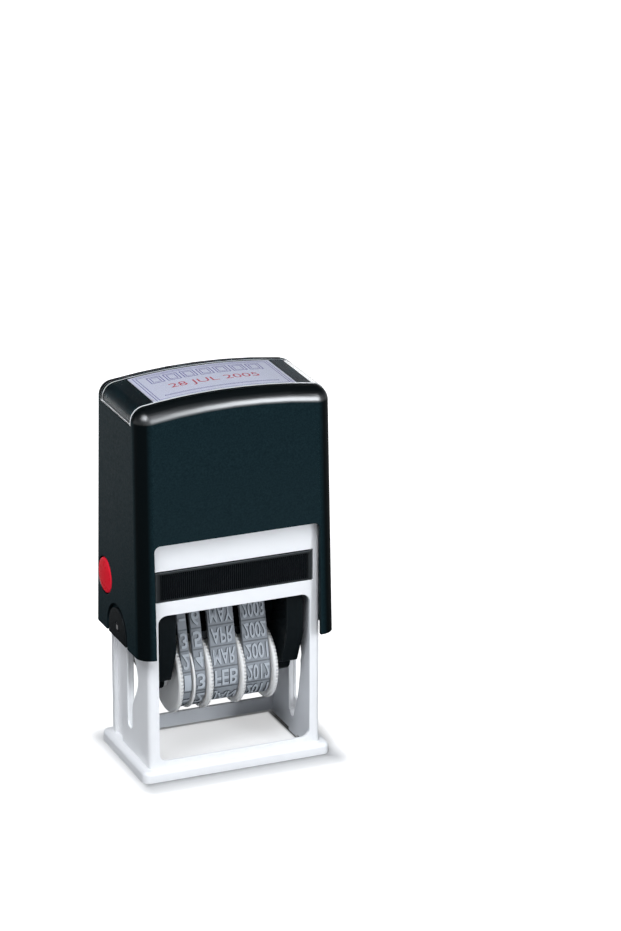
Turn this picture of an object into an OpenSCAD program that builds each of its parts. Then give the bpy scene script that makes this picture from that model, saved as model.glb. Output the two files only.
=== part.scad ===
// Self-inking date stamp, in millimetres.
// X runs along the width, the open front faces -Y, Z is up.
// The origin is the middle of the base, on the table.

/* [Text plate] */
// Width of the rubber text plate
plate_w = 41; // [38:0.5:44]
// Depth of the rubber text plate
plate_d = 24; // [22:0.5:26]
// Thickness of the rubber text plate
plate_t = 2.3; // [2:0.1:2.8]
// Height of the raised border and lines on the text plate
relief_h = 0.8; // [0.5:0.1:1.2]
// Width of the raised border line
border_w = 0.9; // [0.6:0.1:1.5]
// Thickness of the cushion under the text plate
cushion_t = 0.8; // [0.5:0.1:1.1]

/* [Flip mechanism] */
// Height of the ink pad face above the table
pad_z = 55; // [54:0.5:60]
// Distance from the flip axle to the printing face
face_reach = 12; // [11.6:0.1:12.4]
// Gap between the printing face and the ink pad at rest
rest_gap = 0.4; // [0.3:0.1:0.8]
// Gap between the printing face and the table at full press
print_gap = 0.1; // [0:0.05:0.3]
// Diameter of the flip axle
axle_d = 3; // [2.6:0.1:3.4]
// Distance from the flip axle to each cam pin
cam_reach = 5; // [4.4:0.1:5.4]
// Diameter of the cam pins
cam_pin_d = 2.4; // [2:0.1:2.8]
// Thickness of the yoke deck
deck_t = 1.6; // [1.2:0.1:2]
// Thickness of each yoke cheek
cheek_t = 5.2; // [4:0.1:5.4]
// How far the cheeks stand out past the text plate
cheek_out = 1.8; // [1.4:0.1:2.4]
// Widest half depth of a cheek, at the axle
cheek_hd = 13.6; // [12.8:0.1:13.8]
// Half height of the widest part of a cheek
cheek_band = 5; // [3:0.5:5]
// Half depth of a cheek where it narrows above the wheel axle
cheek_waist = 9.2; // [8:0.2:10]
// Diameter of the bosses on the cheeks round the flip axle
boss_d = 7.2; // [6:0.2:8]
// Width of a cheek's foot round the wheel axle
cheek_foot = 2.7; // [2.2:0.1:3.2]
// Height of a cheek's narrow part above the wheel axle
cheek_rise = 2; // [1:0.5:6]
// Gap round the arched cap on each end of the flip axle
cap_gap = 1.2; // [0.8:0.1:1.6]
// Thickness of the rib under the yoke's axle tube
tube_rib_t = 2; // [1.5:0.1:3]

/* [Date wheels and bands] */
// Diameter of a knurled wheel rim
wheel_d = 23; // [22:0.2:23.6]
// Diameter of the hub that drives a band
hub_d = 16.4; // [15.4:0.2:17]
// Thickness of a wheel rim
rim_t = 1.6; // [1.2:0.1:1.8]
// Number of teeth on a wheel rim
rim_teeth = 64; // [48:2:72]
// Depth of the teeth on a wheel rim
tooth_h = 0.35; // [0.2:0.05:0.6]
// Diameter of the wheel axle
wheel_axle_d = 2.5; // [2.2:0.1:3]
// Width of the clip on an end of the wheel axle, round the axle
clip_w = 1.2; // [0.8:0.1:1.5]
// Wall of the spacers on the wheel axle
spacer_w = 2; // [1.5:0.1:2.5]
// Distance from the flip axle down to the wheel axle
wheel_drop = 17; // [16.6:0.1:17.4]
// Width of the day tens band
tens_w = 2.9; // [2.6:0.1:3.4]
// Width of the day units band
units_w = 3.4; // [3:0.1:3.8]
// Width of the month band
month_w = 8.2; // [7.6:0.2:9]
// Width of the year band
year_w = 8; // [7.6:0.2:9]
// Thickness of a band, type included
band_t = 1.6; // [1.3:0.1:1.8]
// Height of the raised type on a band
type_h = 0.5; // [0.3:0.1:0.7]
// Length of one type block along the band
type_l = 5.2; // [4.6:0.1:5.6]
// Number of type blocks round a band
type_count = 15; // [13:2:15]
// Thickness of the divider between the two day wheels
divider_t = 0.6; // [0.4:0.1:0.8]
// How far the divider's edge lies inside the wheel rims
divider_drop = 0.9; // [0.6:0.1:1.2]
// Width of the bridge that carries the bands behind the printing face
bridge_d = 3.6; // [3:0.2:4]
// Depth of the date window in the text plate
date_d = 7.6; // [7.2:0.2:8.4]

/* [Base frame] */
// Height of the foot flange
base_h = 3.5; // [3:0.5:4.5]
// Width of the foot flange outside the side walls
foot_x = 2.4; // [1.5:0.1:3]
// Width of the foot flange outside the front and rear walls
foot_y = 2.2; // [1.5:0.1:3]
// Corner radius of the foot flange
foot_r = 2.2; // [1:0.2:4]
// Thickness of the side walls
side_wall = 2.3; // [1.9:0.1:2.5]
// Thickness of the front and rear walls
end_wall = 1.3; // [1.1:0.1:1.6]
// Corner radius of the frame walls
frame_r = 1.6; // [1:0.1:2.4]
// How far the front and rear walls reach in past the side walls
column_lip = 1; // [0.8:0.1:2]
// Height of the front sill
sill_h = 5.4; // [4.5:0.1:7]
// Height of the rear rail
rail_h = 6; // [5:0.2:8]
// Height of the wall strip between the window and the ink pad
strip_h = 4.3; // [3.8:0.1:4.6]
// Corner radius of the front and rear windows
opening_r = 2.5; // [1.5:0.1:4]
// Height of the frame head above the ink pad tray
head_h = 9.4; // [8:0.2:11]
// Thickness of the floor that carries the return spring
floor_t = 1.5; // [1.2:0.1:2]
// Thickness of the ledges that carry the ink pad tray
ledge_t = 1.4; // [1:0.1:1.6]
// Height of the reliefs under the sides of the foot flange
relief_t = 0.9; // [0.5:0.1:1.2]
// Length of the rear relief on each side
relief_rear_l = 12; // [8:0.5:13]
// Length of the front relief on each side
relief_front_l = 3; // [2:0.5:5]
// Width of the flange left outside the side reliefs
skirt_w = 1.4; // [1:0.1:2]
// Length of the bearing between two reliefs
bearing_l = 6; // [4:0.5:8]
// Height of the relief under the rear of the foot flange
rear_relief_t = 1.6; // [0.8:0.1:1.8]
// Width of the foot left at each end of the rear relief
rear_foot_w = 4; // [3:0.5:8]
// Thickness of the side wall left outside the cam grooves
skin_t = 0.8; // [0.6:0.1:1]
// How far the slot in each side wall bulges forward
slot_bulge = 7; // [5:0.2:7.4]

/* [Ink pad] */
// Height of the ink pad tray
tray_h = 9.1; // [8:0.1:10]
// Thickness of the tray walls
tray_wall = 1.5; // [1.2:0.1:2]
// Height of the plain lips above and below the grip ribs
tray_lip = 0.8; // [0.5:0.1:1.2]
// Depth of the grip ribs
rib_h = 0.4; // [0.3:0.1:0.6]
// Number of grip ribs on the tray front
rib_count = 72; // [40:2:80]
// How far the pad face lies above the tray rim
pad_inset = 0.2; // [0.1:0.1:0.4]
// Thickness of the ink pad
pad_t = 5.6; // [4.5:0.1:6.5]
// How far the ink pad reaches past the text plate on each side
pad_margin = 0.3; // [0.2:0.05:0.4]

/* [Cover] */
// Thickness of the cover walls
cover_wall = 1.3; // [1.1:0.1:1.5]
// Space between the frame front and the cover at its rim
room_y = 2.5; // [2.4:0.1:3]
// How far each side wall leans in towards the top
draft_x = 0.6; // [0.2:0.1:0.8]
// How far the front and rear walls lean in towards the top
draft_y = 2.3; // [1.5:0.1:2.4]
// Radius of the cover's upright and top edges
corner_r = 4.5; // [3.5:0.1:5]
// Radius of the curve across the top
crown_r = 175; // [140:5:260]
// Distance from the flip axle down to the cover's rim
rim_drop = 3.8; // [3.6:0.1:4.4]
// How far the frame head reaches up behind the cover's front wall
head_lap = 0.3; // [0.1:0.1:1]
// Width of the cover's cut-outs past the ink pad tray, each side
cut_side = 1.2; // [0.8:0.1:1.4]
// Corner radius of the cover's cut-outs
cut_r = 1.7; // [1:0.1:3]
// Space left above the frame head at full press
roof_gap = 6.8; // [5:0.2:9]
// Thickness of the roof under the index card
roof_t = 3; // [2.6:0.1:3.6]
// Radius of the arched recess round each axle end
arch_r = 8.2; // [7:0.2:9]
// Height of the arch centre below the flip axle
arch_drop = 1.4; // [0.8:0.2:2]
// Depth of the arched recess
arch_t = 1.1; // [0.8:0.1:1.3]

/* [Index window] */
// Thickness of the clear index window
glass_t = 1.1; // [0.8:0.1:1.4]
// Depth of the clear index window
glass_d = 24; // [22:0.5:25]
// How far the window's ends reach down the sides
glass_leg = 7.5; // [6.5:0.1:8.5]
// How far the window stands above the cover's top edge
glass_step = 0.3; // [0.1:0.1:0.5]
// Width of the index card
card_w = 43; // [36:1:46]
// Depth of the index card
card_d = 22.6; // [18:0.2:23]
// Thickness of the index card
card_t = 0.3; // [0.2:0.05:0.4]

/* [Lock buttons] */
// Diameter of a lock button
button_d = 10.6; // [9:0.1:10.8]
// Distance of the lock buttons behind the middle
button_y = 9.8; // [9.4:0.1:10]
// Height of the lock buttons above the flip axle
button_rise = 12.5; // [12:0.1:15]
// Travel of a lock button
button_travel = 1.2; // [0.8:0.1:1.3]
// How far a lock button stands out of the cover
button_out = 0.4; // [0.2:0.1:0.8]
// Width of the collar that holds a button behind its hole
collar_w = 0.6; // [0.5:0.05:0.7]
// Thickness of the collar
collar_t = 0.6; // [0.5:0.05:0.7]
// Space round a button's collar between the frame and the cover
collar_room = 0.5; // [0.5:0.05:0.8]
// Diameter of the locking tip behind a button
tip_d = 5; // [4:0.1:5.4]
// Width of the grooves in the frame that the tips follow
groove_w = 5.8; // [5.6:0.1:6.2]
// Press depth at which the locking tips find their holes
lock_press = 12; // [8:0.5:20]

/* [Return spring] */
// Diameter of the spring wire
wire_d = 1.2; // [0.8:0.1:1.3]
// Outside diameter of the spring
spring_d = 16; // [14:0.5:18]
// Number of turns
spring_turns = 8; // [6:1:9]
// Height of the collars that centre the spring
spring_collar_h = 3; // [2:0.5:4]

/* [Clearances] */
// Gap round sliding pieces
slide_gap = 0.3; // [0.2:0.05:0.4]
// Radial gap of a turning fit
run_gap = 0.05; // [0.02:0.01:0.1]
// Gap between pieces that are pressed or laid together
seat_gap = 0.05; // [0.02:0.01:0.08]
// Gap between neighbouring wheels, bands and rims
stack_gap = 0.2; // [0.15:0.05:0.3]
// Space beside the yoke where it swings through the windows
swing_x = 1; // [0.8:0.1:1.4]
// Space in front of the text plate where it starts to swing
swing_y = 2.5; // [2.3:0.1:3]

/* [Hidden] */
$fn = 64;
hull_fn = 32;
crown_fn = 720;
// Overlap of cutting shapes past the faces that they cut
cut = 1;

// Heights, from the table up
pivot_z = pad_z - rest_gap - face_reach;
stroke = pivot_z - face_reach - print_gap;
face_z = pivot_z + face_reach;
deck_z = face_z - plate_t - cushion_t;
wheel_z = pivot_z - wheel_drop;
tray_z = pad_z - pad_inset;
tray_top = tray_z + tray_h;
opening_z = tray_z - strip_h;
floor_z = tray_top + slide_gap + floor_t;
frame_top = tray_top + head_h;
rim_z = pivot_z - rim_drop;
cut_z = frame_top - head_lap;
roof_z = frame_top + stroke + roof_gap;
pocket_z = roof_z + roof_t;
crown_z = pocket_z + card_t + 2 * seat_gap + glass_t;
shoulder_z = crown_z - glass_step;
leg_z = crown_z - glass_leg;
button_z = pivot_z + button_rise;

// Half widths, from the text plate out
room_x = button_travel + collar_t + collar_room;
yoke_hw = plate_w / 2 + cheek_out;
cheek_in = yoke_hw - cheek_t;
opening_hw = yoke_hw + swing_x;
shaft_hw = opening_hw + column_lip;
frame_hw = shaft_hw + side_wall;
base_hw = frame_hw + foot_x;
tray_hw = shaft_hw - slide_gap;
cut_hw = tray_hw + cut_side;
pad_hw = plate_w / 2 + pad_margin;
rim_hw = frame_hw + room_x + cover_wall;
top_hw = rim_hw - draft_x;
glass_hw = top_hw + seat_gap;
axle_seat = frame_hw + slide_gap;
groove_t = button_travel - slide_gap + stack_gap;

// Half depths, from the text plate out
shaft_hd = plate_d / 2 + swing_y;
frame_hd = shaft_hd + end_wall;
base_hd = frame_hd + foot_y;
pad_hd = plate_d / 2 + pad_margin;
tray_back = shaft_hd - 2 * slide_gap;
rim_hd = frame_hd + room_y + cover_wall;
top_hd = rim_hd - draft_y;

// Lean of the cover's walls at a height above its rim
function lean(z) = (z - rim_z) / (shoulder_z - rim_z);
function cover_hw(z) = rim_hw - draft_x * lean(z);
function cover_hd(z) = rim_hd - draft_y * lean(z);

// Places of the wheels and bands along their axle, from the left
stack_w = 4 * rim_t + divider_t + tens_w + units_w + month_w + year_w + 8 * stack_gap;
tens_x = -stack_w / 2;
divider_x = tens_x + rim_t + tens_w + 2 * stack_gap;
units_x = divider_x + divider_t + stack_gap;
month_x = units_x + units_w + rim_t + 2 * stack_gap;
year_x = month_x + month_w + rim_t + 2 * stack_gap;

// Loop that a band follows, round the hub and over the bridge
loop_r = hub_d / 2 + slide_gap;
bridge_r = 0.9;
bridge_y = bridge_d / 2 - bridge_r;
bridge_rise = wheel_drop + face_reach - band_t - seat_gap - bridge_r;
bridge_foot = pivot_z + axle_d / 2 + 1;

// Angle of the outward normal on a loop's straight run
loop_len = norm([bridge_y, bridge_rise]);
loop_lean = atan2(bridge_rise, bridge_y) - acos((loop_r - bridge_r) / loop_len);

// Half depth of the bands, type included, at a height on their straight runs
function band_hd(z) =
    bridge_y + (bridge_r + band_t - (z - wheel_z - bridge_rise) * sin(loop_lean)) / cos(loop_lean);
deck_opening_d = 2 * (band_hd(deck_z - deck_t) + slide_gap);

// Clear width inside the coil, at the middle of each straight step between its rings
ring_steps = 8;
ring_sides = 6;
spring_r = (spring_d - wire_d) / 2;
spring_bore = 2 * spring_r * cos(180 / ring_steps) - wire_d;

// Path of the cam pins while the yoke turns over
function cam_point(a) = [-cam_reach * sin(a), pivot_z - stroke * a / 180 + cam_reach * cos(a)];
slot_gap = 0.35;

echo(stroke_mm = stroke, pivot_z_mm = pivot_z, wheel_z_mm = wheel_z, crown_z_mm = crown_z);
echo(floor_z_mm = floor_z, roof_z_mm = roof_z, button_z_mm = button_z, rim_hw_mm = rim_hw, rim_hd_mm = rim_hd);

// Rectangle with round corners, centred
module round_rect(w, d, r) {
    square([w - 2 * r, d], center = true);
    square([w, d - 2 * r], center = true);
    for (x = [-1, 1], y = [-1, 1])
        translate([x * (w / 2 - r), y * (d / 2 - r)])
            circle(r = r);
}

// Stands a flat outline up, so that its own y runs along Z, and extrudes it along Y
module along_y(length) {
    rotate([90, 0, 0])
        linear_extrude(length, center = true)
            children();
}

// Turns a flat outline so that its own x runs along Y and its own y along Z, from x0 to x1
module along_x(x0, x1) {
    translate([x0, 0, 0])
        rotate([90, 0, 90])
            linear_extrude(x1 - x0)
                children();
}

// Round bar along X at a depth and height
module bar_x(x0, x1, y, z, d) {
    translate([x0, y, z])
        rotate([0, 90, 0])
            cylinder(h = x1 - x0, d = d);
}

// Copies its children to the left and right sides
module both_sides() {
    children();
    mirror([1, 0, 0])
        children();
}

// Outline under the crowned top line, for a half width, a top height and a corner radius
module crown_outline(hw, top, r) {
    corner_x = hw - r;
    corner_z = top - crown_r + sqrt(pow(crown_r - r, 2) - pow(corner_x, 2));
    tangent_x = corner_x * crown_r / (crown_r - r);
    intersection() {
        translate([0, top - crown_r])
            circle(r = crown_r, $fn = crown_fn);
        translate([-tangent_x, corner_z - glass_leg])
            square([2 * tangent_x, top - corner_z + glass_leg + cut]);
    }
    translate([-hw, corner_z - glass_leg])
        square([2 * hw, glass_leg]);
    for (side = [-1, 1])
        translate([side * corner_x, corner_z])
            circle(r = r);
}

// Base frame

// Front or rear window outline, standing on a sill
module opening_outline(sill) {
    translate([0, (opening_z + sill) / 2])
        round_rect(2 * opening_hw, opening_z - sill, opening_r);
}

// Groove that a cam pin follows on the inside of a side wall
module cam_groove_outline() {
    reach = cam_pin_d / 2 + slot_gap;
    back = axle_d / 2 + 2 * slide_gap;
    first = cam_point(0);
    last = cam_point(180);
    polygon(concat(
        [for (a = [0:10:180]) cam_point(a) - [reach, 0]],
        [[back, last[1]], [back, first[1]]]));
    for (end = [first, last])
        translate(end)
            circle(r = reach);
}

// Slot through a side wall for the flip axle: straight at the rear, with a bulge in front
module axle_slot_outline() {
    half = axle_d / 2 + slide_gap;
    low = pivot_z - stroke;
    polygon(concat(
        [[half, pivot_z], [-half, pivot_z]],
        [for (t = [0:0.1:1])
            [-half - (slot_bulge - half) * pow(sin(180 * t), 2), pivot_z - stroke * (0.1 + 0.76 * t)]],
        [[-half, low], [half, low]]));
    for (z = [low, pivot_z])
        translate([0, z])
            circle(r = half);
}

// Two reliefs under one side of the foot flange, open to the inside, with a bearing between them
module foot_reliefs() {
    rear_y = shaft_hd - relief_rear_l;
    front_y = rear_y - bearing_l - relief_front_l;
    translate([shaft_hw - cut, 0, -cut]) {
        translate([0, rear_y, 0])
            cube([base_hw - skirt_w - shaft_hw + cut, relief_rear_l, cut + relief_t]);
        translate([0, front_y, 0])
            cube([base_hw - skirt_w - shaft_hw + cut, relief_front_l, cut + relief_t]);
    }
}

// Relief under the rear of the foot flange, between two feet
module rear_relief() {
    half = base_hw - rear_foot_w;
    translate([-half, shaft_hd - cut, -cut])
        cube([2 * half, base_hd - shaft_hd + 2 * cut, cut + rear_relief_t]);
}

module base_frame() {
    color("white")
        difference() {
            union() {
                linear_extrude(base_h)
                    round_rect(2 * base_hw, 2 * base_hd, foot_r);
                linear_extrude(frame_top)
                    round_rect(2 * frame_hw, 2 * frame_hd, frame_r);
            }
            // Print shaft, open at the bottom
            translate([-shaft_hw, -shaft_hd, -cut])
                cube([2 * shaft_hw, 2 * shaft_hd, tray_z - ledge_t + cut]);
            translate([-pad_hw, -shaft_hd, -cut])
                cube([2 * pad_hw, 2 * shaft_hd, tray_z + 2 * cut]);
            // Chamber that takes the ink pad tray from the front
            translate([-shaft_hw, -frame_hd - cut, tray_z])
                cube([2 * shaft_hw, frame_hd + cut + tray_back + slide_gap, tray_h + slide_gap]);
            // Open head with the spring floor
            translate([-shaft_hw, -shaft_hd, floor_z])
                cube([2 * shaft_hw, 2 * shaft_hd, frame_top - floor_z + cut]);
            // Windows in front and behind
            translate([0, -frame_hd, 0])
                along_y(2 * (end_wall + cut))
                    opening_outline(sill_h);
            translate([0, frame_hd, 0])
                along_y(2 * (end_wall + cut))
                    opening_outline(rail_h);
            // Slots, cam grooves, lock grooves and lock holes in the side walls
            along_x(-frame_hw - cut, frame_hw + cut)
                axle_slot_outline();
            both_sides()
                along_x(shaft_hw - cut, frame_hw - skin_t)
                    cam_groove_outline();
            both_sides()
                translate([frame_hw - groove_t, button_y - groove_w / 2, base_h])
                    cube([groove_t + cut, groove_w, frame_top]);
            both_sides()
                bar_x(shaft_hw - cut, frame_hw, button_y, button_z - lock_press, tip_d);
            both_sides()
                foot_reliefs();
            rear_relief();
        }
    // Collar that centres the spring
    color("white")
        translate([0, 0, floor_z - seat_gap])
            cylinder(h = spring_collar_h + seat_gap, d = spring_bore - 2 * slide_gap);
}

// Cover

// Outer form: leaning walls with round edges and a crowned top
module cover_body() {
    ball_z = shoulder_z - crown_r;
    hull() {
        for (x = [-1, 1], y = [-1, 1])
            translate([x * (rim_hw - corner_r), y * (rim_hd - corner_r), rim_z])
                cylinder(h = 0.1, r = corner_r, $fn = hull_fn);
        for (step = [-3:3], y = [-1, 1]) {
            x = step / 3 * (top_hw - corner_r);
            translate([x, y * (top_hd - corner_r), ball_z + sqrt(pow(crown_r - corner_r, 2) - x * x)])
                sphere(r = corner_r, $fn = hull_fn);
        }
    }
}

// Hollow that the frame moves into, parallel to the outer walls
module cover_hollow() {
    deep_z = frame_top + stroke + slide_gap;
    hollow_r = corner_r / 2;
    hull()
        for (z = [rim_z - cut, deep_z], x = [-1, 1], y = [-1, 1])
            translate([x * (cover_hw(z) - cover_wall - hollow_r), y * (cover_hd(z) - cover_wall - hollow_r), z])
                cylinder(h = 0.1, r = hollow_r, $fn = hull_fn);
    translate([0, 0, deep_z - cut])
        linear_extrude(roof_z - deep_z + cut)
            round_rect(2 * frame_hw, 2 * frame_hd, hollow_r);
}

// Ribs inside the side walls that guide the cover on the frame
module guide_ribs() {
    rib_w = 1.6;
    low_z = button_z + button_d;
    for (y = [-1, 1])
        translate([frame_hw + slide_gap, y * (shaft_hd - 2 * rib_w) - rib_w / 2, low_z])
            cube([room_x, rib_w, roof_z - low_z]);
}

// Thick round pad behind each arched recess
module axle_pad() {
    pad_wall = 1.2;
    intersection() {
        bar_x(axle_seat, frame_hw + room_x + seat_gap, 0, pivot_z - arch_drop, 2 * (arch_r + pad_wall));
        translate([0, -frame_hd, rim_z])
            cube([rim_hw, 2 * frame_hd, roof_z - rim_z]);
    }
}

// Arched recess round an axle end, open at the rim
module arch_recess() {
    face = cover_hw(pivot_z) - arch_t;
    bar_x(face, rim_hw + cut, 0, pivot_z - arch_drop, 2 * arch_r);
    translate([face, -arch_r, rim_z - cut])
        cube([arch_t + rim_hw, 2 * arch_r, rim_drop - arch_drop + cut]);
}

// Space for the index window and, below it, the index card
module index_pocket() {
    glass_fit = glass_t + seat_gap;
    difference() {
        translate([-rim_hw - cut, -glass_d / 2 - seat_gap, leg_z - seat_gap])
            cube([2 * (rim_hw + cut), glass_d + 2 * seat_gap, glass_leg + 2 * cut]);
        along_y(glass_d + 4 * cut)
            crown_outline(glass_hw - glass_fit, crown_z - glass_fit, corner_r - glass_fit);
    }
    difference() {
        translate([-card_w / 2 - slide_gap, -card_d / 2 - slide_gap, pocket_z - glass_leg])
            cube([card_w + 2 * slide_gap, card_d + 2 * slide_gap, 2 * glass_leg]);
        along_y(card_d + 4 * cut)
            translate([0, pocket_z - crown_r])
                circle(r = crown_r, $fn = crown_fn);
    }
}

module outer_cover() {
    color([0.06, 0.07, 0.08])
        difference() {
            union() {
                difference() {
                    cover_body();
                    cover_hollow();
                }
                both_sides()
                    guide_ribs();
                both_sides()
                    axle_pad();
                translate([0, 0, roof_z - spring_collar_h])
                    cylinder(h = spring_collar_h + seat_gap, d = spring_bore - 2 * slide_gap);
            }
            // Cut-outs in the front and rear walls
            along_y(4 * rim_hd)
                translate([0, (cut_z + rim_z - cut_r - cut) / 2])
                    round_rect(2 * cut_hw, cut_z - rim_z + cut_r + cut, cut_r);
            both_sides()
                arch_recess();
            bar_x(-rim_hw - cut, rim_hw + cut, 0, pivot_z, axle_d + 2 * run_gap);
            both_sides()
                bar_x(frame_hw, rim_hw + cut, button_y, button_z, button_d + 2 * slide_gap);
            index_pocket();
        }
}

module index_card() {
    color("lavender")
        along_y(card_d)
            intersection() {
                difference() {
                    translate([0, pocket_z + seat_gap + card_t - crown_r])
                        circle(r = crown_r, $fn = crown_fn);
                    translate([0, pocket_z + seat_gap - crown_r])
                        circle(r = crown_r, $fn = crown_fn);
                }
                translate([-card_w / 2, pocket_z - glass_leg])
                    square([card_w, 2 * glass_leg]);
            }
}

module index_window() {
    color([0.8, 0.85, 0.9, 0.4])
        along_y(glass_d)
            difference() {
                crown_outline(glass_hw, crown_z, corner_r);
                crown_outline(glass_hw - glass_t, crown_z - glass_t, corner_r - glass_t);
                translate([-rim_hw, 0])
                    square([2 * rim_hw, leg_z]);
            }
}

// Lock buttons

// One button on the right side, turned about its own axis
module lock_button() {
    collar_x = cover_hw(button_z + button_d) - cover_wall - collar_t - seat_gap;
    tip_x = frame_hw + slide_gap;
    face_x = cover_hw(button_z) + button_out;
    edge_r = 0.5;
    color("crimson")
        translate([0, button_y, button_z])
            rotate([0, 90, 0])
                rotate_extrude() {
                    translate([0, tip_x])
                        square([tip_d / 2, face_x - tip_x]);
                    translate([0, collar_x])
                        square([button_d / 2 + collar_w, collar_t]);
                    translate([0, collar_x])
                        square([button_d / 2, face_x - edge_r - collar_x]);
                    translate([0, collar_x])
                        square([button_d / 2 - edge_r, face_x - collar_x]);
                    translate([button_d / 2 - edge_r, face_x - edge_r])
                        circle(r = edge_r);
                }
}

module right_lock_button() {
    lock_button();
}

module left_lock_button() {
    mirror([1, 0, 0])
        lock_button();
}

// Return spring

// Centre line: a short upright end, the turns, and a short upright end
spring_low = floor_z + seat_gap;
spring_high = roof_z - seat_gap;
coil_low = spring_low + wire_d;
coil_high = spring_high - wire_d;
spring_rings = spring_turns * ring_steps;
function coil_point(i) =
    let (a = 360 * i / ring_steps, z = coil_low + (coil_high - coil_low) * i / spring_rings)
    [spring_r * cos(a), spring_r * sin(a), z];
spring_path = concat(
    [[spring_r, 0, spring_low]],
    [for (i = [0:spring_rings]) coil_point(i)],
    [[spring_r, 0, spring_high]]);

// Ring of points round the centre line, with one side of the ring facing outward
function unit(v) = v / norm(v);
function tube_ring(path, i) =
    let (ahead = path[min(i + 1, len(path) - 1)],
        behind = path[max(i - 1, 0)],
        along = unit(ahead - behind),
        out = unit([path[i][0], path[i][1], 0]),
        up = cross(along, out))
    [for (k = [0:ring_sides - 1])
        path[i] + wire_d / 2 * (cos(360 * k / ring_sides) * out + sin(360 * k / ring_sides) * up)];

// Least distance between turns, measured on the centre line's points
spring_gap = min([for (i = [0:spring_rings], j = [i + ring_steps / 2:1:spring_rings])
    norm(coil_point(i) - coil_point(j))]) - wire_d;
echo(spring_self_gap_mm = spring_gap);

module return_spring() {
    rings = len(spring_path);
    points = [for (i = [0:rings - 1]) each tube_ring(spring_path, i)];
    last = (rings - 1) * ring_sides;
    sides = [for (i = [0:rings - 2], k = [0:ring_sides - 1])
        let (a = i * ring_sides + k, b = i * ring_sides + (k + 1) % ring_sides)
        each [[a, b, b + ring_sides], [a, b + ring_sides, a + ring_sides]]];
    caps = [for (k = [1:ring_sides - 2]) each [[0, k + 1, k], [last, last + k, last + k + 1]]];
    color("silver")
        polyhedron(points, concat(sides, caps));
}

// Ink pad

// Front view outline of the tray with its row of grip ribs, seen from above
module ribbed_front() {
    pitch = 2 * (tray_hw - tray_wall) / rib_count;
    polygon(concat(
        [[tray_hw - tray_wall, frame_hd], [-tray_hw + tray_wall, frame_hd]],
        [for (i = [0:rib_count - 1]) let (x = tray_wall - tray_hw + i * pitch)
            each [[x, -frame_hd + rib_h], [x + pitch / 2, -frame_hd]]],
        [[tray_hw - tray_wall, -frame_hd + rib_h]]));
}

module pad_tray() {
    mouth_hw = pad_hw + seat_gap;
    mouth_hd = pad_hd + seat_gap;
    color([0.08, 0.08, 0.09])
        difference() {
            translate([-tray_hw, -frame_hd, tray_z])
                cube([2 * tray_hw, frame_hd + tray_back, tray_h]);
            // Row of ribs between two plain lips
            difference() {
                translate([-tray_hw + tray_wall, -frame_hd - cut, tray_z + tray_lip])
                    cube([2 * (tray_hw - tray_wall), cut + 2 * rib_h, tray_h - 2 * tray_lip]);
                translate([0, 0, tray_z])
                    linear_extrude(tray_h)
                        ribbed_front();
            }
            translate([-mouth_hw, -mouth_hd, tray_z - cut])
                cube([2 * mouth_hw, 2 * mouth_hd, pad_inset + pad_t + cut]);
        }
}

module ink_pad() {
    color([0.35, 0.1, 0.45])
        translate([-pad_hw, -pad_hd, pad_z])
            cube([2 * pad_hw, 2 * pad_hd, pad_t]);
}

// Rotor

// Cheek outline, from the deck down to the wheel axle
module cheek_outline() {
    deck_rise = deck_z - pivot_z;
    foot_d = wheel_axle_d + 2 * cheek_foot;
    waist_drop = wheel_drop - cheek_rise;
    foot_hd = foot_d / 2;
    deck_hd = plate_d / 2;
    right = [[deck_hd, deck_rise], [cheek_hd, cheek_band], [cheek_hd, -cheek_band],
        [cheek_waist, -waist_drop], [foot_hd, -wheel_drop]];
    left = [for (i = [len(right) - 1:-1:0]) [-right[i][0], right[i][1]]];
    translate([0, pivot_z])
        polygon(concat(right, left));
    translate([0, wheel_z])
        circle(d = foot_d);
}

// Opening in the deck, the cushion and the plate that the bands come through
module date_opening(depth, height) {
    linear_extrude(height)
        square([stack_w - 2 * rim_t + stack_gap, depth], center = true);
}

// Tube round the flip axle from cheek to cheek, with a rib down towards the wheels
module axle_tube() {
    tube_d = 2 * (bridge_foot - pivot_z - seat_gap);
    rib_z = wheel_z + wheel_d / 2 + slide_gap;
    half = cheek_in + seat_gap;
    bar_x(-half, half, 0, pivot_z, tube_d);
    translate([-half, -tube_rib_t / 2, rib_z])
        cube([2 * half, tube_rib_t, pivot_z - rib_z]);
}

module rotor_yoke() {
    color([0.07, 0.07, 0.08])
        difference() {
            union() {
                translate([-yoke_hw, -plate_d / 2, deck_z - deck_t])
                    cube([2 * yoke_hw, plate_d, deck_t]);
                both_sides()
                    along_x(cheek_in, yoke_hw)
                        cheek_outline();
                both_sides()
                    bar_x(cheek_in, shaft_hw - slide_gap, 0, pivot_z, boss_d);
                axle_tube();
            }
            translate([0, 0, deck_z - deck_t - cut])
                date_opening(deck_opening_d, deck_t + 2 * cut);
            bar_x(-shaft_hw, shaft_hw, 0, pivot_z, axle_d + 2 * run_gap);
            bar_x(-shaft_hw, shaft_hw, 0, wheel_z, wheel_axle_d + 2 * run_gap);
            both_sides()
                bar_x(cheek_in - cut, shaft_hw, 0, pivot_z + cam_reach, cam_pin_d + 2 * seat_gap);
        }
}

module die_cushion() {
    color("gray")
        difference() {
            translate([-plate_w / 2, -plate_d / 2, deck_z])
                cube([plate_w, plate_d, cushion_t]);
            translate([0, 0, deck_z - cut])
                date_opening(date_d, cushion_t + 2 * cut);
        }
}

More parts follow.
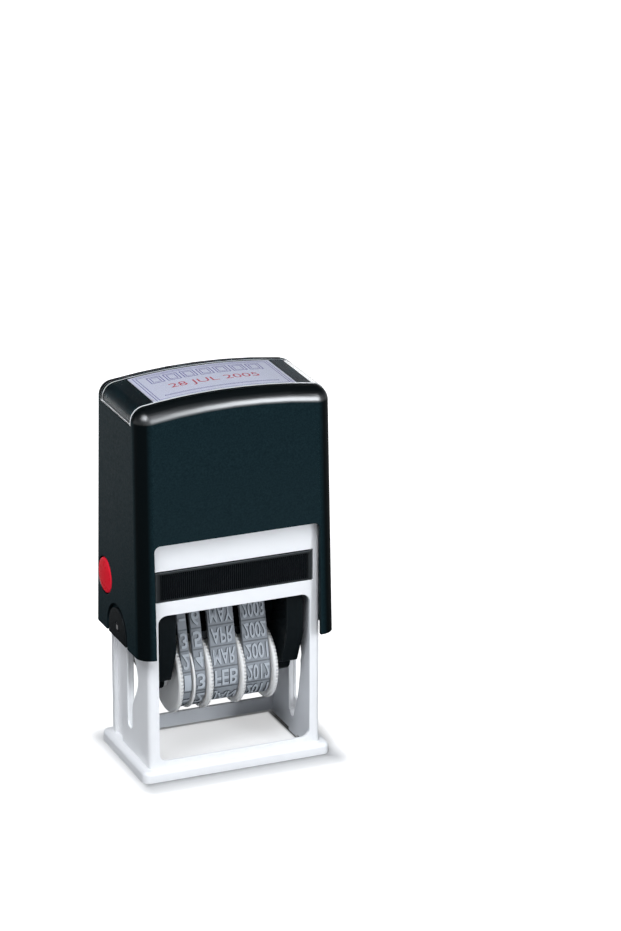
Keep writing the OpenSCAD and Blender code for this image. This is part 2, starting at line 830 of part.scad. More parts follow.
// Rubber plate with a raised border and raised lines above and below the date
module text_die() {
    back_t = plate_t - relief_h;
    line_d = 1.6;
    line_w = plate_w - 8 * border_w;
    line_y = (date_d + plate_d) / 4;
    color([0.75, 0.35, 0.3])
        translate([0, 0, face_z - plate_t])
            difference() {
                union() {
                    linear_extrude(back_t)
                        square([plate_w, plate_d], center = true);
                    linear_extrude(plate_t)
                        difference() {
                            square([plate_w, plate_d], center = true);
                            square([plate_w - 2 * border_w, plate_d - 2 * border_w], center = true);
                        }
                    for (y = [-line_y, line_y])
                        translate([0, y, 0])
                            linear_extrude(plate_t)
                                square([line_w, line_d], center = true);
                }
                translate([0, 0, -cut])
                    date_opening(date_d, plate_t + 2 * cut);
            }
}

// Bar behind the printing face that the bands run over, with a tab at each end under the deck
module band_bridge() {
    bar_hw = stack_w / 2 - rim_t;
    bar_r = bridge_r - seat_gap;
    bar_hd = bridge_y + bar_r;
    bend_z = wheel_z + bridge_rise;
    tab_z = deck_z - deck_t;
    color("whitesmoke")
        union() {
            along_x(-bar_hw, bar_hw) {
                translate([-bar_hd, bridge_foot])
                    square([2 * bar_hd, bend_z - bridge_foot]);
                translate([-bridge_y, bridge_foot])
                    square([2 * bridge_y, bend_z + bar_r - bridge_foot]);
                for (y = [-bridge_y, bridge_y])
                    translate([y, bend_z])
                        circle(r = bar_r);
            }
            translate([-cheek_in, -bar_hd, bridge_foot])
                cube([2 * cheek_in, 2 * bar_hd, tab_z - bridge_foot]);
        }
}

module flip_axle() {
    end_x = cover_hw(pivot_z);
    color("silver")
        bar_x(-end_x, end_x, 0, pivot_z, axle_d);
}

// Arched cap on each axle end, in the recess and flush with the cover's side
module axle_caps() {
    face = cover_hw(pivot_z) - arch_t;
    cap_r = arch_r - cap_gap;
    arch_z = pivot_z - arch_drop;
    color([0.1, 0.1, 0.11])
        both_sides()
            difference() {
                union() {
                    bar_x(face + seat_gap, face + arch_t, 0, arch_z, 2 * cap_r);
                    translate([face + seat_gap, -cap_r, rim_z])
                        cube([arch_t - seat_gap, 2 * cap_r, arch_z - rim_z]);
                }
                translate([face - cut, -cap_r - cut, rim_z - cap_r - cut])
                    cube([arch_t + 2 * cut, 2 * (cap_r + cut), cap_r + cut]);
                bar_x(face - cut, face + arch_t + cut, 0, pivot_z, axle_d + 2 * seat_gap);
            }
}

module cam_pins() {
    color("silver")
        both_sides()
            bar_x(cheek_in, frame_hw - skin_t - slide_gap, 0, pivot_z + cam_reach, cam_pin_d);
}

module wheel_axle() {
    end_x = yoke_hw + swing_x / 2;
    color("silver")
        bar_x(-end_x, end_x, 0, wheel_z, wheel_axle_d);
}

// Spring clip on each end of the wheel axle
module wheel_axle_clips() {
    clip_d = wheel_axle_d + 2 * clip_w;
    color("dimgray")
        both_sides()
            difference() {
                bar_x(yoke_hw + seat_gap, yoke_hw + swing_x / 2, 0, wheel_z, clip_d);
                bar_x(yoke_hw - cut, yoke_hw + swing_x + cut, 0, wheel_z, wheel_axle_d + 2 * seat_gap);
            }
}

// Sleeve on the wheel axle between two places
module sleeve(x0, x1, d) {
    difference() {
        bar_x(x0, x1, 0, wheel_z, d);
        bar_x(x0 - cut, x1 + cut, 0, wheel_z, wheel_axle_d + 2 * run_gap);
    }
}

module left_spacer() {
    color("whitesmoke")
        sleeve(-cheek_in + seat_gap, -stack_w / 2 - stack_gap, wheel_axle_d + 2 * spacer_w);
}

module right_spacer() {
    color("whitesmoke")
        sleeve(stack_w / 2 + stack_gap, cheek_in - seat_gap, wheel_axle_d + 2 * spacer_w);
}

module day_divider() {
    color("whitesmoke")
        sleeve(divider_x, divider_x + divider_t, wheel_d - 2 * divider_drop);
}

// Date wheels

// Toothed outline of a wheel rim
module rim_outline() {
    tip = wheel_d / 2;
    step = 360 / rim_teeth;
    polygon([for (i = [0:rim_teeth - 1], k = [0, 1])
        let (a = (i + k / 2) * step, r = tip - k * tooth_h)
        [r * cos(a), r * sin(a)]]);
}

// Wheel with a hub from x0 over a width and a toothed rim on its left or right
module date_wheel(x0, width, rim_left) {
    rim_x = rim_left ? x0 : x0 + width;
    color("ivory")
        difference() {
            union() {
                bar_x(x0, x0 + width + rim_t, 0, wheel_z, hub_d);
                along_x(rim_x, rim_x + rim_t)
                    translate([0, wheel_z])
                        rim_outline();
            }
            bar_x(x0 - cut, x0 + width + rim_t + cut, 0, wheel_z, wheel_axle_d + 2 * run_gap);
        }
}

module day_tens_wheel() {
    date_wheel(tens_x, tens_w + stack_gap, true);
}

module day_units_wheel() {
    date_wheel(units_x, units_w + stack_gap, false);
}

module month_wheel() {
    date_wheel(month_x, month_w + stack_gap, false);
}

module year_wheel() {
    date_wheel(year_x, year_w + stack_gap, false);
}

// Date bands

// Loop outline round the hub and over the bridge, grown outward; its straight runs start just inside the arcs
module loop_outline(grow) {
    side = [cos(loop_lean), sin(loop_lean)];
    run_lap = 0.004;
    low = (loop_r + grow - run_lap) * side;
    high = [bridge_y, bridge_rise] + (bridge_r + grow - run_lap) * side;
    top = bridge_rise + bridge_r + grow - run_lap;
    circle(r = loop_r + grow);
    polygon([low, high, [bridge_y, top], [-bridge_y, top], [-high[0], high[1]], [-low[0], low[1]]]);
    for (y = [-bridge_y, bridge_y])
        translate([y, bridge_rise])
            circle(r = bridge_r + grow);
}

// Place and turn of a type block, by its distance along the loop from the middle of the printing face
back_r = band_t - type_h;
top_run = bridge_y;
bend_run = (bridge_r + back_r) * (90 - loop_lean) * PI / 180;
side_run = sqrt(pow(loop_len, 2) - pow(loop_r - bridge_r, 2));
hub_run = (loop_r + back_r) * (90 + loop_lean) * PI / 180;
half_loop = top_run + bend_run + side_run + hub_run;
type_pitch = 2 * half_loop / type_count;
function on_loop(s) =
    let (past_bend = s - top_run - bend_run, past_side = past_bend - side_run,
        side = [cos(loop_lean), sin(loop_lean)], down = [side[1], -side[0]],
        start = [bridge_y, bridge_rise] + (bridge_r + back_r) * side)
    past_side > 0
        ? let (a = loop_lean - past_side / (loop_r + back_r) * 180 / PI)
            [(loop_r + back_r) * [cos(a), sin(a)], a]
        : [start + past_bend * down, loop_lean];

// One raised type block, standing out along the outward normal
module type_block(s) {
    place = on_loop(abs(s));
    mirror([s < 0 ? 1 : 0, 0])
        translate(place[0])
            rotate(place[1])
                translate([-back_r / 2, -type_l / 2])
                    square([back_r / 2 + type_h, type_l]);
}

// Band with its row of type blocks; the block in the printing face fills the bridge's top
module date_band(x0, width) {
    type_side = 0.15;
    color([0.82, 0.82, 0.88])
        translate([0, 0, wheel_z])
            difference() {
                union() {
                    along_x(x0, x0 + width)
                        loop_outline(back_r);
                    along_x(x0 + type_side, x0 + width - type_side) {
                        translate([-type_l / 2, bridge_rise])
                            square([type_l, bridge_r + band_t]);
                        for (i = [1:(type_count - 1) / 2], side = [-1, 1])
                            type_block(side * i * type_pitch);
                    }
                }
                along_x(x0 - cut, x0 + width + cut)
                    loop_outline(0);
            }
}

module day_tens_band() {
    date_band(tens_x + rim_t + stack_gap, tens_w);
}

module day_units_band() {
    date_band(units_x, units_w);
}

module month_band() {
    date_band(month_x, month_w);
}

module year_band() {
    date_band(year_x, year_w);
}

base_frame();
outer_cover();
index_card();
index_window();
left_lock_button();
right_lock_button();
return_spring();
pad_tray();
ink_pad();
rotor_yoke();
die_cushion();
text_die();
band_bridge();
flip_axle();
axle_caps();
cam_pins();
wheel_axle();
wheel_axle_clips();
left_spacer();
right_spacer();
day_divider();
day_tens_wheel();
day_units_wheel();
month_wheel();
year_wheel();
day_tens_band();
day_units_band();
month_band();
year_band();
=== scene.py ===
"""Looks of a self-inking date stamp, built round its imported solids. All lengths are in metres."""

import math

import bmesh
import bpy
from mathutils import Matrix, Quaternion, Vector


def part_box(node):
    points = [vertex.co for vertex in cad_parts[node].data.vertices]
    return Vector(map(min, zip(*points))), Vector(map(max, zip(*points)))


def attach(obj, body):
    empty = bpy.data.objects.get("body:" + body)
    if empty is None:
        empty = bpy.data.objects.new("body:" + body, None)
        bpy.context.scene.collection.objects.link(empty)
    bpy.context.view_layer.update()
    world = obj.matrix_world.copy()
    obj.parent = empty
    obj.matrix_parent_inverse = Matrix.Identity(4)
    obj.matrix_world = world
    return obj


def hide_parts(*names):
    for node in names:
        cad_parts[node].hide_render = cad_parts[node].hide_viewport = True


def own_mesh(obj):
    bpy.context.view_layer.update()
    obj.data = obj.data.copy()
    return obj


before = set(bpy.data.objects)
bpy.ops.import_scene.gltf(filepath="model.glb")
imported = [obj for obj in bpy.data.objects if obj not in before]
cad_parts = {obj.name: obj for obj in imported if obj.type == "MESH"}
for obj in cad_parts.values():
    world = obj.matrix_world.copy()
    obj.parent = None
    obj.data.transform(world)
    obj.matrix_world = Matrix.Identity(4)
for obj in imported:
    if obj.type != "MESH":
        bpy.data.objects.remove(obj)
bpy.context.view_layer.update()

MM = 0.001
X_AXIS, Y_AXIS, Z_AXIS = Vector((1, 0, 0)), Vector((0, 1, 0)), Vector((0, 0, 1))
MIDDLE = Vector((0, 0, 0))

# Heights and lengths that the pieces share with the solids
WHEEL_Z = 25.6 * MM      # axle of the date wheels
FLOOR_Z = 65.7 * MM      # foot of the return spring
ROOF_Z = 110.6 * MM      # head of the return spring
CROWN_Z = 115.1 * MM     # top of the clear window
CROWN_R = 175 * MM       # curve of the window and the card across the width
WINDOW_T = 1.1 * MM
CARD_GAP = 0.05 * MM     # between the window and the card


# Node tools

NOISE_LOW, NOISE_HIGH = 0.3, 0.7      # most of a noise lies between these


def add_node(owner, kind, inputs=(), **settings):
    """A new node of a material or world; inputs are given by name or place."""
    node = owner.node_tree.nodes.new(kind)
    for name, value in settings.items():
        setattr(node, name, value)
    for name, value in dict(inputs).items():
        node.inputs[name].default_value = value
    return node


def wire(owner, source, out, target, into):
    owner.node_tree.links.new(source.outputs[out], target.inputs[into])


def mapped(owner, source, out, start, end, first=0.0, last=1.0):
    """A node's value, carried over from start and end to first and last."""
    node = add_node(owner, "ShaderNodeMapRange",
                    {"From Min": start, "From Max": end, "To Min": first, "To Max": last})
    wire(owner, source, out, node, "Value")
    return node


def reckoned(owner, operation, *terms):
    """A Math node over terms; each is a number, or a node and one of its outputs."""
    node = add_node(owner, "ShaderNodeMath", operation=operation)
    for place, term in enumerate(terms):
        if isinstance(term, tuple):
            wire(owner, *term, node, place)
        else:
            node.inputs[place].default_value = term
    return node


def colour_mix(owner, share, out, first, second):
    """A colour that goes from the first to the second with a node's value."""
    mix = add_node(owner, "ShaderNodeMix", {"A": (*first, 1), "B": (*second, 1)}, data_type="RGBA")
    wire(owner, share, out, mix, "Factor")
    return mix


# Materials

def shader_of(mat):
    return mat.node_tree.nodes["Principled BSDF"]


def plain_finish(name, colour, rough, plain=()):
    """A material whose shader has these plain values; plain holds other sockets by name."""
    mat = bpy.data.materials.new(name)
    mat.use_nodes = True
    sockets = {"Base Color": (*colour, 1), "Roughness": rough, **dict(plain)}
    for socket, value in sockets.items():
        shader_of(mat).inputs[socket].default_value = value
    return mat


def spots(mat, size, detail, fineness):
    """Noise on the piece's own coordinates; its spots are size across, divided by fineness."""
    where = add_node(mat, "ShaderNodeTexCoord")
    scaled = add_node(mat, "ShaderNodeMapping", {"Scale": fineness})
    noise = add_node(mat, "ShaderNodeTexNoise",
                     {"Scale": 1 / size, "Detail": detail, "Roughness": 0.6})
    wire(mat, where, "Object", scaled, "Vector")
    wire(mat, scaled, "Vector", noise, "Vector")
    return noise


def grain(mat, size, depth, strength, detail=2.0, fineness=(1, 1, 1)):
    """Fine relief in the surface."""
    noise = spots(mat, size, detail, fineness)
    bump = add_node(mat, "ShaderNodeBump", {"Strength": strength, "Distance": depth})
    wire(mat, noise, "Fac", bump, "Height")
    wire(mat, bump, "Normal", shader_of(mat), "Normal")


def patchy_gloss(mat, size, low, high, fineness=(1, 1, 1)):
    """Roughness that wanders between low and high."""
    noise = spots(mat, size, detail=3.0, fineness=fineness)
    rough = mapped(mat, noise, "Fac", NOISE_LOW, NOISE_HIGH, low, high)
    wire(mat, rough, "Result", shader_of(mat), "Roughness")


def mottled(mat, size, first, second, fineness=(1, 1, 1)):
    """Colour that wanders between two near shades; returns the mix, to be toned further."""
    noise = spots(mat, size, detail=2.0, fineness=fineness)
    share = mapped(mat, noise, "Fac", NOISE_LOW, NOISE_HIGH)
    mix = colour_mix(mat, share, "Result", first, second)
    wire(mat, mix, "Result", shader_of(mat), "Base Color")
    return mix


def toned_by(mat, attribute, base, tone, most=1.0, start=0.0):
    """Mixes a tone over the base colour where a piece's attribute is above start."""
    level = add_node(mat, "ShaderNodeAttribute", attribute_name=attribute)
    share = mapped(mat, level, "Fac", start, end=1.0, last=most)
    mix = colour_mix(mat, share, "Result", tone, tone)
    wire(mat, base, "Result", mix, "A")
    wire(mat, mix, "Result", shader_of(mat), "Base Color")
    return mix


def black_cover_finish():
    """Grained faces; the round edges are toned near black and the flats a paler teal, lit and
    shaded copies of one black: painted shade on the edges, painted sheen on the flats. The round
    edges shine by the polish attribute.
    """
    mat = plain_finish("black_grained_plastic", colour=(0.006, 0.016, 0.02), rough=0.45, plain={
        "IOR": 1.25, "Specular IOR Level": 0.08, "Specular Tint": (0.75, 0.92, 1.0, 1),
        "Coat IOR": 2.7, "Coat Roughness": 0.34, "Coat Tint": (0.93, 0.97, 1.0, 1)})
    # the paler teal of the grained flats is painted sheen
    base = mottled(mat, size=0.5 * MM, first=(0.0035, 0.011, 0.0145),
                   second=(0.0085, 0.021, 0.0255))
    # painted shade: the round edges are toned near black
    base = toned_by(mat, "round", base, tone=(0.002, 0.0034, 0.004))
    toned_by(mat, "edge", base, tone=(0.014, 0.024, 0.028), most=0.6)
    patchy_gloss(mat, size=0.7 * MM, low=0.40, high=0.54)
    polish = add_node(mat, "ShaderNodeAttribute", attribute_name="polish")
    wire(mat, polish, "Fac", shader_of(mat), "Coat Weight")
    grain(mat, size=0.28 * MM, depth=0.05 * MM, strength=0.55)
    return mat


def white_frame_finish():
    """White, and toned a little greyer on the inner faces of the walls, as painted shade."""
    mat = plain_finish("white_moulded_plastic", colour=(0.885, 0.89, 0.897), rough=0.36, plain={
        "Subsurface Weight": 0.06, "Subsurface Radius": (0.6 * MM, 0.6 * MM, 0.6 * MM),
        "Subsurface Scale": 1.0})
    base = mottled(mat, size=14 * MM, first=(0.873, 0.878, 0.886), second=(0.896, 0.90, 0.907))
    # painted shade: the inner faces of the walls are toned greyer
    base = toned_by(mat, "inner", base, tone=(0.68, 0.70, 0.73))
    toned_by(mat, "edge", base, tone=(0.90, 0.91, 0.93), most=0.5)
    patchy_gloss(mat, size=3 * MM, low=0.3, high=0.44)
    grain(mat, size=0.5 * MM, depth=0.012 * MM, strength=0.35)
    return mat


def clear_window_finish():
    """Clear, with edges that turn frosted white as a painted highlight."""
    mat = plain_finish("clear_polished_plastic", colour=(0.96, 0.975, 0.985), rough=0.03, plain={
        "Transmission Weight": 1.0, "IOR": 1.12})
    # painted highlight: the edges turn frosted white
    edge = add_node(mat, "ShaderNodeAttribute", attribute_name="edge")
    clear = mapped(mat, edge, "Fac", start=0.5, end=1.0, first=1.0, last=0.3)
    wire(mat, clear, "Result", shader_of(mat), "Transmission Weight")
    patchy_gloss(mat, size=9 * MM, low=0.015, high=0.06)
    grain(mat, size=7 * MM, depth=0.02 * MM, strength=0.05, detail=1.0)
    return mat


def card_finish():
    mat = plain_finish("index_card_stock", colour=(0.78, 0.775, 0.89), rough=0.8)
    mottled(mat, size=0.8 * MM, first=(0.76, 0.755, 0.87), second=(0.80, 0.795, 0.91),
            fineness=(1, 3, 1))
    grain(mat, size=0.15 * MM, depth=0.02 * MM, strength=0.4, detail=3.0, fineness=(1, 4, 1))
    return mat


def card_ink_finish(name, colour, faded):
    mat = plain_finish(name, colour, rough=0.75)
    mottled(mat, size=0.5 * MM, first=colour, second=faded)
    grain(mat, size=0.15 * MM, depth=0.01 * MM, strength=0.3)
    return mat


def red_button_finish():
    mat = plain_finish("red_glossy_plastic", colour=(0.78, 0.006, 0.022), rough=0.3, plain={
        "IOR": 1.25, "Specular IOR Level": 0.05})
    base = mottled(mat, size=4 * MM, first=(0.76, 0.005, 0.020), second=(0.80, 0.008, 0.026))
    # the marked ring near the edge is toned paler
    toned_by(mat, "edge", base, tone=(0.84, 0.04, 0.07), most=0.5)
    patchy_gloss(mat, size=1.5 * MM, low=0.24, high=0.36)
    grain(mat, size=0.8 * MM, depth=0.01 * MM, strength=0.4)
    return mat


def steel_finish():
    """Bright, with fine lines drawn out along the width."""
    mat = plain_finish("bright_drawn_steel", colour=(0.62, 0.62, 0.64), rough=0.25, plain={
        "Metallic": 1.0})
    mottled(mat, size=2 * MM, first=(0.56, 0.56, 0.58), second=(0.68, 0.68, 0.69),
            fineness=(0.2, 3, 3))
    patchy_gloss(mat, size=0.5 * MM, low=0.18, high=0.36, fineness=(0.2, 3, 3))
    grain(mat, size=0.12 * MM, depth=0.004 * MM, strength=0.5, fineness=(0.1, 3, 3))
    return mat


def blackened_steel_finish():
    mat = plain_finish("blackened_steel", colour=(0.010, 0.011, 0.013), rough=0.4, plain={
        "IOR": 1.2, "Specular IOR Level": 0.2})
    mottled(mat, size=1 * MM, first=(0.008, 0.009, 0.011), second=(0.014, 0.015, 0.017))
    patchy_gloss(mat, size=0.5 * MM, low=0.3, high=0.5)
    grain(mat, size=0.12 * MM, depth=0.004 * MM, strength=0.5)
    return mat


def tray_finish():
    """Black, and paler on the crests of the grip ribs and on the edges, as painted highlights."""
    mat = plain_finish("black_tray_plastic", colour=(0.003, 0.004, 0.005), rough=0.42, plain={
        "Specular IOR Level": 0.07})
    base = mottled(mat, size=3 * MM, first=(0.003, 0.004, 0.005), second=(0.005, 0.0065, 0.0075))
    # painted highlights on the crests of the grip ribs and on the long edges
    base = toned_by(mat, "crest", base, tone=(0.022, 0.027, 0.030), start=0.6)
    toned_by(mat, "edge", base, tone=(0.12, 0.13, 0.135), most=0.8)
    patchy_gloss(mat, size=0.8 * MM, low=0.3, high=0.46)
    grain(mat, size=0.3 * MM, depth=0.02 * MM, strength=0.4)
    return mat


def rotor_finish():
    mat = plain_finish("black_satin_plastic", colour=(0.003, 0.005, 0.006), rough=0.55, plain={
        "IOR": 1.2, "Specular IOR Level": 0.1})
    base = mottled(mat, size=4 * MM, first=(0.003, 0.005, 0.006), second=(0.005, 0.007, 0.008))
    toned_by(mat, "edge", base, tone=(0.02, 0.024, 0.026), most=0.6)
    patchy_gloss(mat, size=1.2 * MM, low=0.14, high=0.22)
    grain(mat, size=0.4 * MM, depth=0.01 * MM, strength=0.3)
    return mat


def felt_finish():
    mat = plain_finish("inked_felt", colour=(0.06, 0.03, 0.16), rough=0.85, plain={
        "Sheen Weight": 0.25})
    mottled(mat, size=0.5 * MM, first=(0.045, 0.02, 0.12), second=(0.085, 0.045, 0.21))
    grain(mat, size=0.12 * MM, depth=0.06 * MM, strength=0.9, detail=4.0)
    return mat


def foam_finish():
    mat = plain_finish("grey_cushion_foam", colour=(0.3, 0.3, 0.32), rough=0.9)
    mottled(mat, size=0.4 * MM, first=(0.24, 0.24, 0.26), second=(0.36, 0.36, 0.38))
    grain(mat, size=0.2 * MM, depth=0.06 * MM, strength=0.8, detail=3.0)
    return mat


def die_finish():
    """Reddish rubber with ink on its edges."""
    mat = plain_finish("text_plate_rubber", colour=(0.36, 0.12, 0.1), rough=0.7)
    base = mottled(mat, size=1.5 * MM, first=(0.33, 0.11, 0.09), second=(0.4, 0.15, 0.12))
    toned_by(mat, "edge", base, tone=(0.2, 0.08, 0.16), most=0.7)
    patchy_gloss(mat, size=1 * MM, low=0.55, high=0.75)
    grain(mat, size=0.3 * MM, depth=0.02 * MM, strength=0.4)
    return mat


def wheel_finish():
    """Off-white, and greyer in the notches of the knurl as painted shade."""
    mat = plain_finish("ivory_wheel_plastic", colour=(0.78, 0.775, 0.76), rough=0.36, plain={
        "Subsurface Weight": 0.1, "Subsurface Radius": (0.8 * MM, 0.7 * MM, 0.6 * MM),
        "Subsurface Scale": 1.0})
    base = mottled(mat, size=5 * MM, first=(0.765, 0.76, 0.745), second=(0.795, 0.79, 0.775))
    # painted shade in the notches of the knurl
    toned_by(mat, "notch", base, tone=(0.25, 0.255, 0.26))
    patchy_gloss(mat, size=2 * MM, low=0.3, high=0.44)
    grain(mat, size=0.5 * MM, depth=0.01 * MM, strength=0.35)
    return mat


def band_finish():
    """Grey rubber, toned by the rise attribute: pale on the fields and the type, with painted shade
    in the gaps and on the sides.
    """
    mat = plain_finish("grey_band_rubber", colour=(0.3, 0.32, 0.35), rough=0.62, plain={
        "Specular IOR Level": 0.3})
    base = mottled(mat, size=2 * MM, first=(0.030, 0.034, 0.040), second=(0.040, 0.044, 0.050))
    # painted shade: dark in the gaps of the belt and on the sides of the fields and the type
    toned_by(mat, "rise", base, tone=(0.44, 0.475, 0.515))
    patchy_gloss(mat, size=0.8 * MM, low=0.5, high=0.7)
    grain(mat, size=0.25 * MM, depth=0.02 * MM, strength=0.4)
    return mat


BLACK_COVER = black_cover_finish()
WHITE_FRAME = white_frame_finish()
CLEAR_WINDOW = clear_window_finish()
CARD_STOCK = card_finish()
VIOLET_INK = card_ink_finish("violet_card_ink", (0.10, 0.09, 0.36), faded=(0.20, 0.18, 0.46))
RED_INK = card_ink_finish("red_card_ink", (0.55, 0.03, 0.07), faded=(0.66, 0.12, 0.18))
RED_BUTTON = red_button_finish()
STEEL = steel_finish()
BLACKENED_STEEL = blackened_steel_finish()
TRAY_BLACK = tray_finish()
ROTOR_BLACK = rotor_finish()
INKED_FELT = felt_finish()
CUSHION_FOAM = foam_finish()
DIE_RUBBER = die_finish()
WHEEL_IVORY = wheel_finish()
BAND_RUBBER = band_finish()


# Mesh tools

SOLID_WELD = 0.0005 * MM      # points of a solid's loose triangles that are one
TURNED_WELD = 0.002 * MM      # points on the axis of a turned piece that are one
FLAT = math.radians(0.05)     # triangles that lie flatter than this are one face
CORNER = math.radians(35)     # edges that turn by more than this are rounded


def shade(bm, sharp):
    """Smooth shading, with a hard line where two faces meet at more than sharp degrees."""
    for face in bm.faces:
        face.smooth = True
    for edge in bm.edges:
        edge.smooth = not (edge.is_manifold and edge.calc_face_angle(0) > math.radians(sharp))


def piece(name, bm, mat, body, stands_for=(), sharp=32):
    """Makes a mesh a finished piece that rides on a body."""
    shade(bm, sharp)
    mesh = bpy.data.meshes.new(name)
    bm.to_mesh(mesh)
    bm.free()
    mesh.materials.append(mat)
    made = bpy.data.objects.new(name, mesh)
    bpy.context.scene.collection.objects.link(made)
    even = made.modifiers.new("even_shading", "WEIGHTED_NORMAL")
    even.keep_sharp = True
    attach(made, body)
    if stands_for:
        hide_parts(*stands_for)
    return made


def merged_copy(node):
    """A copy of a solid's mesh with its loose triangles joined into whole faces."""
    bm = bmesh.new()
    bm.from_mesh(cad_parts[node].data)
    bmesh.ops.remove_doubles(bm, verts=bm.verts, dist=SOLID_WELD)
    bmesh.ops.dissolve_degenerate(bm, edges=bm.edges, dist=SOLID_WELD)
    bmesh.ops.dissolve_limit(bm, angle_limit=FLAT, verts=bm.verts, edges=bm.edges,
                             use_dissolve_boundaries=False, delimit=set())
    return bm


def round_edges(bm, radius, steps=2, chosen=lambda edge: True):
    """Rounds the chosen outer edges, and marks them in the edge attribute."""
    full_mark, border_mark = 1.0, 0.4
    picked = [e for e in bm.edges
              if e.is_convex and e.calc_face_angle(0) > CORNER and chosen(e)]
    made = bmesh.ops.bevel(bm, geom=picked, offset=radius, offset_type="OFFSET", segments=steps,
                           profile=0.5, affect="EDGES", clamp_overlap=False, material=-1)
    mark = bm.verts.layers.float.get("edge") or bm.verts.layers.float.new("edge")
    rounded = set(made["faces"])
    for vert in {v for face in rounded for v in face.verts}:
        inside = all(face in rounded for face in vert.link_faces)
        vert[mark] = max(vert[mark], full_mark if inside else border_mark)


def outline(bm, points):
    """A closed line of points, as vertices and edges."""
    verts = [bm.verts.new(p) for p in points]
    return verts + [bm.edges.new(pair) for pair in zip(verts, verts[1:] + verts[:1])]


def turned(profile, axis_point, axis, steps):
    """A closed line of points spun once round an axis."""
    bm = bmesh.new()
    bmesh.ops.spin(bm, geom=outline(bm, profile), cent=axis_point, axis=axis, angle=2 * math.pi,
                   steps=steps, use_merge=True)
    bmesh.ops.remove_doubles(bm, verts=bm.verts, dist=TURNED_WELD)
    bmesh.ops.recalc_face_normals(bm, faces=bm.faces)
    return bm


def edges_in(geom):
    return [g for g in geom if isinstance(g, bmesh.types.BMEdge)]


def without_faces(geom):
    return [g for g in geom if not isinstance(g, bmesh.types.BMFace)]


def block(size, centre):
    """A plain block, to be cut, bent or rounded."""
    bm = bmesh.new()
    bmesh.ops.create_cube(bm, size=1)
    bmesh.ops.scale(bm, verts=bm.verts, vec=size)
    bmesh.ops.translate(bm, verts=bm.verts, vec=centre)
    return bm


def lettering(text, width, height, thickness, bold=0.0):
    """Raised lettering that fills a width and height round the origin; its back lies at zero."""
    curve = bpy.data.curves.new("lettering", "FONT")
    curve.body = text
    curve.extrude = 0.5
    curve.offset = bold
    curve.resolution_u = 4
    holder = bpy.data.objects.new("lettering", curve)
    bpy.context.scene.collection.objects.link(holder)
    bpy.context.view_layer.update()
    finished = holder.evaluated_get(bpy.context.evaluated_depsgraph_get())
    mesh = bpy.data.meshes.new_from_object(finished)
    bpy.data.objects.remove(holder)
    bpy.data.curves.remove(curve)
    bm = bmesh.new()
    bm.from_mesh(mesh)
    bpy.data.meshes.remove(mesh)
    size, origin = (width, height, thickness), (0.5, 0.5, 0)
    for i in range(3):
        low = min(v.co[i] for v in bm.verts)
        high = max(v.co[i] for v in bm.verts)
        for vert in bm.verts:
            vert.co[i] = size[i] * ((vert.co[i] - low) / (high - low) - origin[i])
    return bm


def joined(first, second):
    """Adds the second mesh to the first, and frees it."""
    carrier = bpy.data.meshes.new("carrier")
    second.to_mesh(carrier)
    second.free()
    first.from_mesh(carrier)
    bpy.data.meshes.remove(carrier)


def ramp(value, start, end):
    return min(1.0, max(0.0, (value - start) / (end - start)))


def quarter_turn(step):
    """Angles up to a right angle, every step degrees."""
    return [math.radians(degrees) for degrees in range(0, 91, step)]


# Frame, cover and the pieces on them

def make_frame():
    """The inner faces of the walls are marked, to be toned a little greyer as painted shade."""
    bm = merged_copy("base_frame")
    flange_top, height_slack = 3.5 * MM, 0.01 * MM
    wall_hw, wall_hd = 26.7 * MM, 15.9 * MM      # the flange is what stands out past these
    flange_round, edge_round, shortest = 1.2 * MM, 0.25 * MM, 0.02 * MM
    shaft_hw, square_on = 24.5 * MM, 0.9

    def on_flange(edge):
        return all(abs(v.co.z - flange_top) < height_slack
                   and (abs(v.co.x) > wall_hw or abs(v.co.y) > wall_hd) for v in edge.verts)

    round_edges(bm, flange_round, steps=4, chosen=on_flange)
    round_edges(bm, edge_round, chosen=lambda e: e.calc_length() > shortest)
    # marks the inner faces of the walls for their painted shade
    inner = bm.loops.layers.float.new("inner")
    bm.normal_update()
    for face in bm.faces:
        middle = face.calc_center_bounds()
        facing_in = max(-face.normal.x * math.copysign(1, middle.x),
                        -face.normal.y * math.copysign(1, middle.y))
        for corner in face.loops:
            corner[inner] = 1.0 if facing_in > square_on and abs(middle.x) < shaft_hw else 0.0
    piece("frame_moulding", bm, WHITE_FRAME, "frame", ["base_frame"])


def make_cover():
    """The upright and top edges are smooth and toned black as painted shade; the flat faces have a
    fine grain.
    """
    bm = merged_copy("outer_cover")
    round_edges(bm, radius=0.25 * MM)
    # the round mark carries the painted shade of the round edges
    round_mark = bm.verts.layers.float.new("round")
    polish = bm.verts.layers.float.new("polish")
    bm.normal_update()
    flat_until, round_from = 3, 10      # degrees that a face turns from the nearest flat side

    def off_flat(normal):
        turn = math.degrees(math.acos(min(1.0, max(abs(normal.x), abs(normal.y)))))
        return ramp(turn, flat_until, round_from)

    def shine(normal):
        """Most on faces that lean back a little; less on the crown and towards the sides."""
        leaning = ramp(normal.z, 0.035, 0.235)
        crown_loss = 0.9 * ramp(normal.z, 0.5, 0.82)
        to_front = ramp(abs(normal.y), 0.08, 0.23)
        side_loss = 0.6 * ramp(abs(normal.x), 0.3, 0.6)
        return leaning * (1 - crown_loss) * to_front * (1 - side_loss)

    for vert in bm.verts:
        vert[round_mark] = min(off_flat(face.normal) for face in vert.link_faces)
        vert[polish] = vert[round_mark] * min(shine(face.normal) for face in vert.link_faces)
    piece("cover_moulding", bm, BLACK_COVER, "cover", ["outer_cover"])


